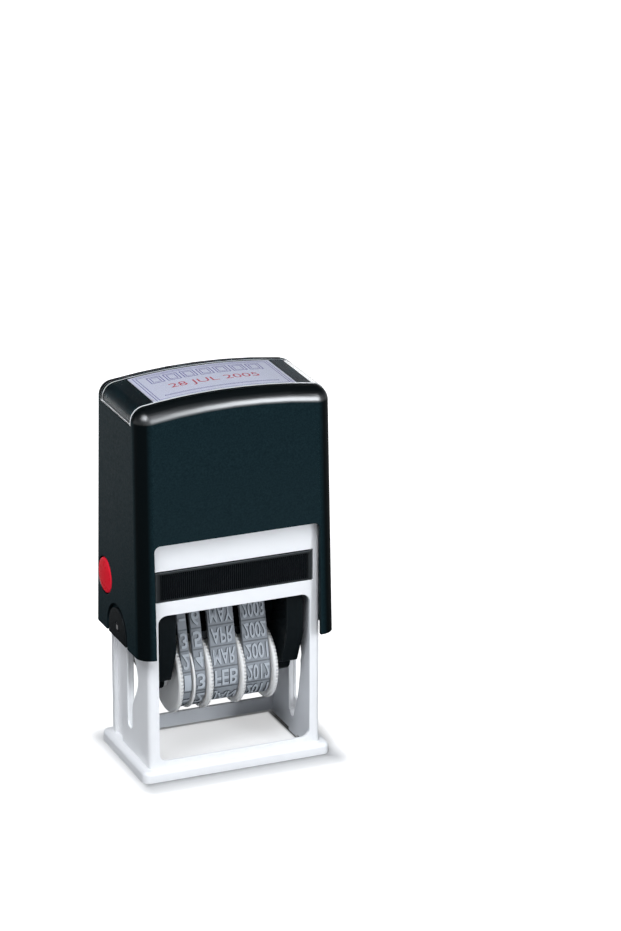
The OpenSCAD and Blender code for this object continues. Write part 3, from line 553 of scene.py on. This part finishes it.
def make_tray():
    """Only the long edges are rounded; the crests of the grip ribs are marked, for a painted
    highlight.
    """
    bm = merged_copy("pad_tray")
    front = min(vert.co.y for vert in bm.verts)
    long_edge, crest_depth, slanted = 8.5 * MM, 0.1 * MM, 0.3
    round_edges(bm, radius=0.18 * MM, chosen=lambda e: e.calc_length() > long_edge)
    crest = bm.loops.layers.float.new("crest")
    bm.normal_update()
    for face in bm.faces:
        if face.normal.y < -slanted and abs(face.normal.x) > slanted:
            for corner in face.loops:
                corner[crest] = 1.0 if corner.vert.co.y < front + crest_depth else 0.0
    piece("pad_tray_piece", bm, TRAY_BLACK, "pad", ["pad_tray"])


def softened(node, mat, body, radius, steps=2):
    """A solid with its outer edges rounded."""
    bm = merged_copy(node)
    round_edges(bm, radius, steps)
    piece(node + "_piece", bm, mat, body, [node])


make_frame()
make_cover()
softened("index_window", CLEAR_WINDOW, "cover", radius=0.28 * MM, steps=3)
softened("index_card", CARD_STOCK, "cover", radius=0.05 * MM)
make_tray()
softened("rotor_yoke", ROTOR_BLACK, "rotor", radius=0.3 * MM)
softened("die_cushion", CUSHION_FOAM, "rotor", radius=0.1 * MM)
softened("text_die", DIE_RUBBER, "rotor", radius=0.12 * MM)
softened("band_bridge", WHEEL_IVORY, "rotor", radius=0.15 * MM)
softened("axle_caps", ROTOR_BLACK, "cover", radius=0.2 * MM)
softened("cam_pins", STEEL, "rotor", radius=0.25 * MM)
softened("wheel_axle", STEEL, "rotor", radius=0.25 * MM)
softened("wheel_axle_clips", STEEL, "rotor", radius=0.08 * MM)
for ring in ("left_spacer", "right_spacer", "day_divider"):
    softened(ring, WHEEL_IVORY, "rotor", radius=0.12 * MM)


# Flip axle: a blackened rod with a small bright spot turned into each end

def make_flip_axle():
    bm = merged_copy("flip_axle")
    edge_round, spot_inset, spot_rise, square_on = 0.25 * MM, 0.5 * MM, -0.05 * MM, 0.99
    round_edges(bm, edge_round)
    flats = (f for f in bm.faces if abs(f.normal.x) > square_on)
    for end in sorted(flats, key=lambda f: f.calc_area())[-2:]:
        bmesh.ops.inset_region(bm, faces=[end], thickness=spot_inset, depth=spot_rise,
                               use_even_offset=True)
        end.material_index = 1
    axle = piece("flip_axle_rod", bm, BLACKENED_STEEL, "cover", ["flip_axle"])
    axle.data.materials.append(STEEL)


make_flip_axle()


# Lock buttons: a slightly domed face with a round edge, a collar and a locking tip

def make_button(node, body, side):
    low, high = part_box(node)
    centre = (low + high) / 2
    face_x = max(abs(low.x), abs(high.x))
    tip_x = min(abs(low.x), abs(high.x))
    tip_r, tip_bevel = 2.5 * MM, 0.2 * MM
    collar_x, collar_t, collar_r = 28.0 * MM, 0.6 * MM, (high.y - low.y) / 2
    radius, edge, dome, dome_share = 5.3 * MM, 0.7 * MM, 0.25 * MM, 0.87
    pale_ring_r, pale_ring_width = radius - 0.3 * MM, 0.5 * MM
    rim_x = face_x - dome
    arc = quarter_turn(15)
    line = [(0, tip_x), (tip_r - tip_bevel, tip_x), (tip_r, tip_x + tip_bevel), (tip_r, collar_x),
            (collar_r, collar_x), (collar_r, collar_x + collar_t), (radius, collar_x + collar_t)]
    line += [(radius - edge + edge * math.cos(a), rim_x - edge + edge * math.sin(a)) for a in arc]
    line += [(radius * share, rim_x + dome * (1 - (share / dome_share) ** 2))
             for share in (0.75, 0.6, 0.45, 0.3, 0.15, 0)]
    profile = [Vector((side * x, centre.y + r, centre.z)) for r, x in line]
    bm = turned(profile, Vector((0, centre.y, centre.z)), X_AXIS, steps=64)
    # marks a ring near the round edge, which is toned paler
    mark = bm.verts.layers.float.new("edge")
    for vert in bm.verts:
        out = math.hypot(vert.co.y - centre.y, vert.co.z - centre.z)
        vert[mark] = max(0.0, 1 - abs(out - pale_ring_r) / pale_ring_width)
    piece(node + "_piece", bm, RED_BUTTON, body, [node])


make_button("left_lock_button", "left_button", -1)
make_button("right_lock_button", "right_button", 1)


# Return spring: one round wire with a closed turn at each end

def make_spring():
    wire_r, wire_sides, coil_r = 0.6 * MM, 12, 7.4 * MM
    turns, steps = 8, 32
    seat_gap, turn_gap, weld = 0.05 * MM, 0.1 * MM, 0.001 * MM
    low, high = FLOOR_Z + seat_gap + wire_r, ROOF_Z - seat_gap - wire_r
    end_rise = 2 * wire_r + turn_gap
    middle_rise = (high - low - 2 * end_rise) / (turns - 2)
    bm = bmesh.new()
    ring = bmesh.ops.create_circle(bm, segments=wire_sides, radius=wire_r, cap_ends=False)["verts"]
    bmesh.ops.rotate(bm, verts=ring, cent=MIDDLE, matrix=Matrix.Rotation(math.pi / 2, 3, "X"))
    bmesh.ops.translate(bm, verts=ring, vec=Vector((coil_r, 0, low)))
    last = bm.verts[:] + bm.edges[:]
    bmesh.ops.contextual_create(bm, geom=edges_in(last))
    for count, rise in ((1, end_rise), (turns - 2, middle_rise), (1, end_rise)):
        made = bmesh.ops.spin(bm, geom=last, cent=MIDDLE, axis=Z_AXIS, angle=2 * math.pi * count,
                              steps=steps * count, dvec=Vector((0, 0, rise / steps)),
                              use_merge=False)
        last = without_faces(made["geom_last"])
    bmesh.ops.contextual_create(bm, geom=edges_in(last))
    bmesh.ops.remove_doubles(bm, verts=bm.verts, dist=weld)
    bmesh.ops.recalc_face_normals(bm, faces=bm.faces)
    spring = piece("return_spring_wire", bm, STEEL, "frame", ["return_spring"], sharp=60)
    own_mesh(spring)


make_spring()


# Ink pad: a soft felt block with round edges and a slightly full face

def make_ink_pad():
    low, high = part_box("ink_pad")
    size, centre = high - low, (low + high) / 2
    edge_round, long_edge, fullness = 0.5 * MM, 10 * MM, 0.2 * MM
    face_top = low.z + 0.6 * MM      # the printing face and its round edge lie below this
    bm = block(size, centre)
    bmesh.ops.subdivide_edges(bm, edges=[e for e in bm.edges if e.calc_length() > long_edge],
                              cuts=9, use_grid_fill=True)
    round_edges(bm, edge_round, steps=3)
    for vert in bm.verts:
        across = 1 - (2 * (vert.co.x - centre.x) / size.x) ** 2
        along = 1 - (2 * (vert.co.y - centre.y) / size.y) ** 2
        if vert.co.z < face_top:
            vert.co.z += fullness * (1 - math.sqrt(max(0, across * along)))
    felt = piece("ink_pad_felt", bm, INKED_FELT, "pad", ["ink_pad"])


make_ink_pad()


# Date wheels: a hub and a thin rim with a knurled edge

RIM_TEETH = 64
STEPS_PER_TOOTH = 6


def make_wheel(node, body, rim_left):
    """The knurl is deepest on the rim's right-hand edge and fades out over its round face."""
    low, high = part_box(node)
    rim_r, hub_r, boss_r, bore_r = 11.5 * MM, 8.2 * MM, 3.9 * MM, 1.3 * MM
    rim_t, rim_round, hub_bevel = 1.6 * MM, 0.7 * MM, 0.2 * MM
    dish_r, dish_depth, dish_slope = rim_r - 1.9 * MM, 0.2 * MM, 0.3 * MM
    tooth, knurl_r, plain_share = 0.6 * MM, rim_r - 1.0 * MM, 0.25
    near, far = (high.x, low.x) if rim_left else (low.x, high.x)
    turn = 1 if far > near else -1
    rim_x, dish_x = far - turn * rim_t, far - turn * dish_depth
    round_r = rim_r - rim_round
    arc = quarter_turn(18)
    line = [(bore_r, near), (hub_r - hub_bevel, near), (hub_r, near + turn * hub_bevel),
            (hub_r, rim_x), (round_r, rim_x)]
    line += [(round_r + rim_round * math.sin(a), rim_x + turn * rim_round * (1 - math.cos(a)))
             for a in arc[1:]]
    line += [(round_r + rim_round * math.cos(a), far - turn * rim_round * (1 - math.sin(a)))
             for a in arc]
    line += [(dish_r, far), (dish_r - dish_slope, dish_x), (boss_r + dish_slope, dish_x),
             (boss_r, far), (bore_r, far)]
    profile = [Vector((x, 0, WHEEL_Z - r)) for r, x in line]
    bm = turned(profile, Vector((0, 0, WHEEL_Z)), X_AXIS,
                steps=RIM_TEETH * STEPS_PER_TOOTH)
    left_edge = min(rim_x, far)
    # the notch mark sets the knurl's depth and its painted shade
    notch = bm.verts.layers.float.new("notch")
    for vert in bm.verts:
        y, z = vert.co.y, vert.co.z - WHEEL_Z
        r = math.hypot(y, z)
        if r > knurl_r:
            out = (r - knurl_r) / (rim_r - knurl_r)
            right = max(0.0, (vert.co.x - left_edge) / rim_t - plain_share)
            wave = 0.5 - 0.5 * math.cos(RIM_TEETH * math.atan2(z, y))
            vert[notch] = out * right * wave
            keep = (r - tooth * vert[notch]) / r
            vert.co.y, vert.co.z = y * keep, WHEEL_Z + z * keep
    piece(node + "_piece", bm, WHEEL_IVORY, body, [node], sharp=45)


make_wheel("day_tens_wheel", "tens_wheel", rim_left=True)
make_wheel("day_units_wheel", "units_wheel", rim_left=False)
make_wheel("month_wheel", "months_wheel", rim_left=False)
make_wheel("year_wheel", "years_wheel", rim_left=False)


# Date bands: a belt round the hub and over the bridge, with raised fields and raised type

LOOP_R = 8.5 * MM
BRIDGE_R = 0.9 * MM
BRIDGE_Y = 0.9 * MM
BRIDGE_RISE = 26.45 * MM
BELT_T = 1.1 * MM
# Shares of the band's pale tone; the low shares of the belt and of the sides are painted shade
BELT_TONE, FIELD_TONE, TYPE_TONE, SIDE_SHARE = 0.3, 0.6, 0.95, 0.12
TYPE_H = 0.5 * MM
LETTER_TALL, DASH_TALL, LETTER_BOLD = 4.6 * MM, 0.7 * MM, 0.02
FIELD_H, FIELD_ROOT = 0.08 * MM, 0.2 * MM      # above the belt and sunk into it
FIELD_L, FIELD_MARGIN = 5.72 * MM, 0.3 * MM
FIELD_COUNT = 15
HALF_COUNT = FIELD_COUNT // 2
BEND_CUTS, BEND_PITCH = 3, 0.75 * MM           # cuts each way from the middle, to bend the type

LEAN = (math.atan2(BRIDGE_RISE, BRIDGE_Y)
        - math.acos((LOOP_R - BRIDGE_R) / math.hypot(BRIDGE_Y, BRIDGE_RISE)))
TOP_RUN = BRIDGE_Y
BEND_RUN = (BRIDGE_R + BELT_T) * (math.pi / 2 - LEAN)
SIDE_RUN = math.sqrt(BRIDGE_Y ** 2 + BRIDGE_RISE ** 2 - (LOOP_R - BRIDGE_R) ** 2)
HUB_RUN = (LOOP_R + BELT_T) * (math.pi / 2 + LEAN)
FIELD_PITCH = 2 * (TOP_RUN + BEND_RUN + SIDE_RUN + HUB_RUN) / FIELD_COUNT


def on_belt(s, rise):
    """Depth and height of a point, s along the belt from the printing face and rise above it."""
    way, s = (1 if s >= 0 else -1), abs(s)
    bend_r, hub_r = BRIDGE_R + BELT_T + rise, LOOP_R + BELT_T + rise
    if s <= TOP_RUN:
        y, z = s, BRIDGE_RISE + bend_r
    elif s <= TOP_RUN + BEND_RUN:
        a = math.pi / 2 - (s - TOP_RUN) / (BRIDGE_R + BELT_T)
        y, z = BRIDGE_Y + bend_r * math.cos(a), BRIDGE_RISE + bend_r * math.sin(a)
    elif s <= TOP_RUN + BEND_RUN + SIDE_RUN:
        run = s - TOP_RUN - BEND_RUN
        y = BRIDGE_Y + bend_r * math.cos(LEAN) + run * math.sin(LEAN)
        z = BRIDGE_RISE + bend_r * math.sin(LEAN) - run * math.cos(LEAN)
    else:
        a = LEAN - (s - TOP_RUN - BEND_RUN - SIDE_RUN) / (LOOP_R + BELT_T)
        y, z = hub_r * math.cos(a), hub_r * math.sin(a)
    return -way * y, WHEEL_Z + z


def laid_on_belt(bm, x_middle, s_middle, base, tone):
    """Bends a flat mesh onto the belt: x stays, y runs along the belt and z stands out of it."""
    facing_out = 0.5
    # painted shade: the sides of the fields and the type get the low side share
    mark = bm.loops.layers.float.new("rise")
    bm.normal_update()
    for face in bm.faces:
        for corner in face.loops:
            corner[mark] = tone if face.normal.z > facing_out else SIDE_SHARE * tone
    for cut in range(-BEND_CUTS, BEND_CUTS + 1):
        bmesh.ops.bisect_plane(bm, geom=bm.verts[:] + bm.edges[:] + bm.faces[:], dist=1e-9,
                               plane_co=Vector((0, cut * BEND_PITCH, 0)), plane_no=Y_AXIS)
    for vert in bm.verts:
        y, z = on_belt(s_middle + vert.co.y, base + vert.co.z)
        vert.co = (x_middle + vert.co.x, y, z)
    bmesh.ops.recalc_face_normals(bm, faces=bm.faces)
    return bm


def belt(x0, x1):
    """The plain belt: a thin strip carried round the hub, up to the bridge, over it and back."""
    soft, weld = 0.15 * MM, 0.005 * MM
    hub_steps, bend_steps = 24, 10
    hub_turn, bend_turn = math.pi / 2 + LEAN, math.pi / 2 - LEAN
    inner, outer = WHEEL_Z - LOOP_R, WHEEL_Z - LOOP_R - BELT_T
    hub = Vector((0, 0, WHEEL_Z))
    bridge, bridge_half = Vector((0, 0, WHEEL_Z + BRIDGE_RISE)), Vector((0, BRIDGE_Y, 0))
    side = Vector((0, math.cos(LEAN), math.sin(LEAN)))
    run = Vector((0, BRIDGE_Y, BRIDGE_RISE)) + (BRIDGE_R - LOOP_R) * side
    back_run = Vector((0, run.y, -run.z))
    bm = bmesh.new()

    def swing(geom, centre, angle, steps):
        made = bmesh.ops.spin(bm, geom=geom, cent=centre, axis=X_AXIS, angle=angle, steps=steps,
                              use_merge=False)
        return without_faces(made["geom_last"])

    def carry(geom, way):
        made = bmesh.ops.extrude_edge_only(bm, edges=edges_in(geom))
        moved = without_faces(made["geom"])
        verts = [g for g in moved if isinstance(g, bmesh.types.BMVert)]
        bmesh.ops.translate(bm, verts=verts, vec=way)
        return moved

    corners = ((x0, inner), (x1, inner), (x1, outer + soft),
               (x1 - soft, outer), (x0 + soft, outer), (x0, outer + soft))
    last = outline(bm, [(x, 0, z) for x, z in corners])
    last = swing(last, hub, hub_turn, hub_steps)
    last = carry(last, run)
    last = swing(last, bridge + bridge_half, bend_turn, bend_steps)
    last = carry(last, -2 * bridge_half)
    last = swing(last, bridge - bridge_half, bend_turn, bend_steps)
    last = carry(last, back_run)
    swing(last, hub, hub_turn, hub_steps)
    bmesh.ops.remove_doubles(bm, verts=bm.verts, dist=weld)
    bmesh.ops.recalc_face_normals(bm, faces=bm.faces)
    # painted shade: the belt between the fields is toned dark
    mark = bm.loops.layers.float.new("rise")
    for face in bm.faces:
        for corner in face.loops:
            corner[mark] = BELT_TONE
    return bm


def field(width):
    """One raised field of a band, still flat."""
    return block(Vector((width, FIELD_L, FIELD_H + FIELD_ROOT)),
                 Vector((0, 0, (FIELD_H - FIELD_ROOT) / 2)))


def make_band(node, words, share):
    """words gives the type by its place, counted down the front from the printing face."""
    low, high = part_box(node)
    middle, width = (low.x + high.x) / 2, high.x - low.x
    bm = belt(low.x, high.x)
    for place in range(-HALF_COUNT, HALF_COUNT + 1):
        s = place * FIELD_PITCH
        raised = field(width - FIELD_MARGIN)
        joined(bm, laid_on_belt(raised, middle, s, base=0.0, tone=FIELD_TONE))
        word = words.get(place)
        if word:
            tall = DASH_TALL if word == "-" else LETTER_TALL
            mark = lettering(word, share * width, tall, TYPE_H - FIELD_H, LETTER_BOLD)
            joined(bm, laid_on_belt(mark, middle, s, base=FIELD_H, tone=TYPE_TONE))
    piece(node + "_piece", bm, BAND_RUBBER, "rotor", [node], sharp=40)


TENS = {place: "-321"[(place - 2) % 4] for place in range(-HALF_COUNT, HALF_COUNT + 1)}
UNITS = {place: str((8 - place) % 10) for place in range(-HALF_COUNT, HALF_COUNT + 1)}
MONTHS = dict(zip(range(6, -6, -1), "JAN FEB MAR APR MAY JUN JUL AUG SEP OCT NOV DEC".split()))
YEARS = dict(zip([4, 3, 2, 1, 0, -1, -2, -3, -4, -5, 6, 5], map(str, range(2001, 2013))))
make_band("day_tens_band", TENS, share=0.72)
make_band("day_units_band", UNITS, share=0.74)
make_band("month_band", MONTHS, share=0.86)
make_band("year_band", YEARS, share=0.86)


# Print on the index card: a plain double border, a row of boxes, a date and a line

CARD_TOP = CROWN_Z - WINDOW_T - CARD_GAP
PRINT_LIFT = 0.012 * MM
BOX_CUTS = 24      # across a box, to bend it


def laid_on_card(bm):
    """Drops a flat print onto the card's curve."""
    for vert in bm.verts:
        fall = CROWN_R - math.sqrt(CROWN_R ** 2 - vert.co.x ** 2)
        vert.co.z = CARD_TOP + PRINT_LIFT - fall + vert.co.z
    bmesh.ops.recalc_face_normals(bm, faces=bm.faces)
    return bm


def outline_box(x0, y0, x1, y1, line):
    """A flat outline drawn with a line of that width; all five are in millimetres."""
    bm = bmesh.new()
    bmesh.ops.create_grid(bm, x_segments=BOX_CUTS, y_segments=1, size=0.5)
    bmesh.ops.scale(bm, verts=bm.verts, vec=Vector(((x1 - x0) * MM, (y1 - y0) * MM, 1)))
    centre = Vector(((x0 + x1) / 2 * MM, (y0 + y1) / 2 * MM, 0))
    bmesh.ops.translate(bm, verts=bm.verts, vec=centre)
    inset = bmesh.ops.inset_region(bm, faces=bm.faces[:], thickness=line * MM, use_boundary=True,
                                   use_even_offset=True)
    ring = set(inset["faces"])
    bmesh.ops.delete(bm, geom=[f for f in bm.faces if f not in ring], context="FACES")
    return bm


def make_card_print():
    box_count, row_x, row_low, row_high = 7, -17.2, 3.2, 8.4
    box_pitch, box_width, box_inset = 5.0, 4.2, 0.8
    rule_low, rule_high, date_y = -7.6, -6.9, -1.6
    violet = bmesh.new()
    for half_width, half_depth in ((20.6, 10.4), (19.8, 9.6)):
        joined(violet, outline_box(-half_width, -half_depth, half_width, half_depth, line=0.22))
    for k in range(box_count):
        x0 = row_x + box_pitch * k
        x1 = x0 + box_width
        joined(violet, outline_box(x0, row_low, x1, row_high, line=0.3))
        joined(violet, outline_box(x0 + box_inset, row_low + box_inset,
                                   x1 - box_inset, row_high - box_inset, line=0.25))
    joined(violet, outline_box(row_x, rule_low, -row_x, rule_high, line=0.2))
    piece("card_frame_print", laid_on_card(violet), VIOLET_INK, "cover")
    red = lettering("28 JUL 2005", width=27 * MM, height=4.2 * MM, thickness=0.004 * MM)
    bmesh.ops.translate(red, verts=red.verts, vec=Vector((0, date_y * MM, 0)))
    piece("card_date_print", laid_on_card(red), RED_INK, "cover")


make_card_print()


# Floor, light and camera

# Glow of the floor by the distance from the foot, in millimetres; its dip near the foot is a
# painted contact shadow
GLOW_BY_DISTANCE = ((0.3, 0.03), (1.4, 0.09), (2.6, 0.19), (4.5, 0.33), (7, 0.56), (11, 1.0))
GLOW_START, GLOW_END = -10, 30
OPEN_TONE, SHADED_TONE, PAPER_GLOW = 0.58, 0.05, 0.5


def past_rectangle(mat, where, middle, half, across=1.0):
    """Distance of a floor point outside a rectangle, below zero inside; X counts across times."""
    def step(operation, source, out, by=(0, 0, 0)):
        node = add_node(mat, "ShaderNodeVectorMath", {1: by}, operation=operation)
        wire(mat, source, out, node, 0)
        return node

    moved = step("SUBTRACT", where, "Object", (*middle, 0))
    mirrored = step("ABSOLUTE", moved, 0)
    past_half = step("SUBTRACT", mirrored, 0, (*half, 0))
    past = step("MULTIPLY", past_half, 0, (across, 1, 0))
    outside = step("MAXIMUM", past, 0)
    away = step("LENGTH", outside, 0)
    parts = add_node(mat, "ShaderNodeSeparateXYZ")
    wire(mat, past, 0, parts, 0)
    nearer = reckoned(mat, "MAXIMUM", (parts, "X"), (parts, "Y"))
    inside = reckoned(mat, "MINIMUM", (nearer, 0), 0.0)
    return reckoned(mat, "ADD", (away, "Value"), (inside, 0))


def glow_curve(mat, distance):
    """How much the floor glows at a distance from the foot; the dip near it is a painted contact
    shadow.
    """
    share = mapped(mat, distance, 0, start=GLOW_START * MM, end=GLOW_END * MM)
    curve = add_node(mat, "ShaderNodeValToRGB")
    stops = curve.color_ramp.elements
    while len(stops) < len(GLOW_BY_DISTANCE):
        stops.new(0.5)
    for stop, (place, glow) in zip(stops, GLOW_BY_DISTANCE):
        stop.position = (place - GLOW_START) / (GLOW_END - GLOW_START)
        stop.color = (glow, glow, glow, 1)
    wire(mat, share, "Result", curve, "Fac")
    return curve


def floor_finish():
    """Pale, with a painted contact shadow close to the foot; it glows to plain white away from it.
    """
    mat = plain_finish("pale_floor", colour=(0.58, 0.58, 0.585), rough=0.9, plain={
        "Specular IOR Level": 0.0})
    shader = shader_of(mat)
    where = add_node(mat, "ShaderNodeTexCoord")
    # the painted contact shadow is measured from a foot set a little right and forward, with the
    # distance across counted 1.6 times
    from_foot = past_rectangle(mat, where, middle=(0.9 * MM, -1.4 * MM),
                               half=(28.5 * MM, 18 * MM), across=1.6)
    under_foot = past_rectangle(mat, where, middle=(0, -1.4 * MM), half=(29 * MM, 18 * MM))
    from_shaft = past_rectangle(mat, where, middle=(0, 0), half=(24.3 * MM, 17.5 * MM))
    # Painted shade: little light gets under the walls, so the floor is toned dark there and along
    # the foot's edges, most at the front; the paper in the print shaft is open
    open_paper = mapped(mat, from_shaft, 0, start=-0.5 * MM, end=-0.1 * MM,
                        first=OPEN_TONE, last=0.0)
    open_floor = mapped(mat, under_foot, 0, start=-3.5 * MM, end=0.6 * MM,
                        first=SHADED_TONE, last=OPEN_TONE)
    tone = reckoned(mat, "MAXIMUM", (open_paper, "Result"), (open_floor, "Result"))
    wire(mat, tone, 0, shader, "Base Color")
    # Seen straight on or through the window, the floor and the paper in the shaft glow; the paper's
    # glow paints light in the shade of the stamp and fades out at the shaft's walls
    paper = mapped(mat, from_shaft, 0, start=-1.2 * MM, end=-0.1 * MM,
                   first=PAPER_GLOW, last=0.0)
    level = reckoned(mat, "MAXIMUM", (glow_curve(mat, from_foot), "Color"), (paper, "Result"))
    seen = add_node(mat, "ShaderNodeLightPath")
    direct = reckoned(mat, "MAXIMUM", (seen, "Is Camera Ray"), (seen, "Is Transmission Ray"))
    strength = reckoned(mat, "MULTIPLY", (direct, 0), (level, 0))
    glow = add_node(mat, "ShaderNodeEmission")
    wire(mat, strength, 0, glow, "Strength")
    both = add_node(mat, "ShaderNodeAddShader")
    wire(mat, shader, "BSDF", both, 0)
    wire(mat, glow, "Emission", both, 1)
    # Mirrored, it is white far off and in shade near the object
    far_off = mapped(mat, under_foot, 0, start=60 * MM, end=220 * MM)
    mirrored = add_node(mat, "ShaderNodeEmission")
    wire(mat, far_off, "Result", mirrored, "Strength")
    either = add_node(mat, "ShaderNodeMixShader")
    wire(mat, seen, "Is Glossy Ray", either, 0)
    wire(mat, both, "Shader", either, 1)
    wire(mat, mirrored, "Emission", either, 2)
    wire(mat, either, "Shader", mat.node_tree.nodes["Material Output"], "Surface")
    return mat


def make_stage():
    half_size = 3
    bm = bmesh.new()
    bmesh.ops.create_grid(bm, x_segments=1, y_segments=1, size=half_size)
    mesh = bpy.data.meshes.new("floor")
    bm.to_mesh(mesh)
    bm.free()
    mesh.materials.append(floor_finish())
    floor = bpy.data.objects.new("floor", mesh)
    bpy.context.scene.collection.objects.link(floor)


def make_world(sides, overhead):
    """A plain grey room, as strong as given at the sides and overhead; the camera sees it white."""
    cool, white = (0.94, 0.985, 1.06), (1, 1, 1)
    world = bpy.data.worlds.new("studio")
    bpy.context.scene.world = world
    world.use_nodes = True
    background = world.node_tree.nodes["Background"]
    where = add_node(world, "ShaderNodeTexCoord")
    parts = add_node(world, "ShaderNodeSeparateXYZ")
    wire(world, where, "Generated", parts, "Vector")
    room = mapped(world, parts, "Z", start=0.1, end=0.45, first=sides, last=overhead)
    seen = add_node(world, "ShaderNodeLightPath")
    strength = reckoned(world, "MAXIMUM", (seen, "Is Camera Ray"), (room, "Result"))
    wire(world, strength, 0, background, "Strength")
    tint = colour_mix(world, seen, "Is Camera Ray", cool, white)
    wire(world, tint, "Result", background, "Color")


def softbox(name, place, aim_z, size, power, tint=(1, 1, 1)):
    """A rectangular lamp that points at a height on the object's middle line."""
    lamp = bpy.data.lights.new(name, "AREA")
    lamp.shape = "RECTANGLE"
    lamp.size, lamp.size_y = size
    lamp.energy = power
    lamp.color = tint
    box = bpy.data.objects.new(name, lamp)
    box.location = place
    way = Vector((0, 0, aim_z)) - Vector(place)
    box.rotation_euler = way.to_track_quat("-Z", "Y").to_euler()
    bpy.context.scene.collection.objects.link(box)


def make_camera():
    """A view from the left front and a little above, for an upright picture of 621 by 931."""
    azimuth, elevation, roll = math.radians(-21.53), math.radians(21.77), math.radians(-0.4)
    distance, target = 1.12, Vector((0, 0, 55 * MM))
    back = Vector((math.sin(azimuth) * math.cos(elevation),
                   -math.cos(azimuth) * math.cos(elevation), math.sin(elevation)))
    lens = bpy.data.cameras.new("camera")
    lens.sensor_width = 36
    lens.lens = 149.95
    lens.shift_x, lens.shift_y = 0.1035, 0.1144
    lens.clip_start, lens.clip_end = 0.01, 20
    camera = bpy.data.objects.new("camera", lens)
    camera.location = target + back * distance
    aim = (-back).to_track_quat("-Z", "Y") @ Quaternion(Z_AXIS, roll)
    camera.rotation_euler = aim.to_euler()
    bpy.context.scene.collection.objects.link(camera)
    bpy.context.scene.camera = camera


make_stage()
make_world(sides=0.4, overhead=0.03)
softbox("right_front_box", (0.44, -0.88, 0.42), aim_z=0.08, size=(0.24, 0.5), power=4.85,
        tint=(0.945, 0.985, 1.03))
softbox("left_top_box", (-0.40, -0.46, 0.88), aim_z=0.06, size=(0.6, 0.6), power=9.9,
        tint=(0.955, 0.985, 1.03))
softbox("back_right_box", (0.76, 0.86, 0.28), aim_z=0.10, size=(0.5, 0.4), power=0.7)
make_camera()
bpy.context.scene.view_settings.view_transform = "Standard"

bpy.context.view_layer.update()
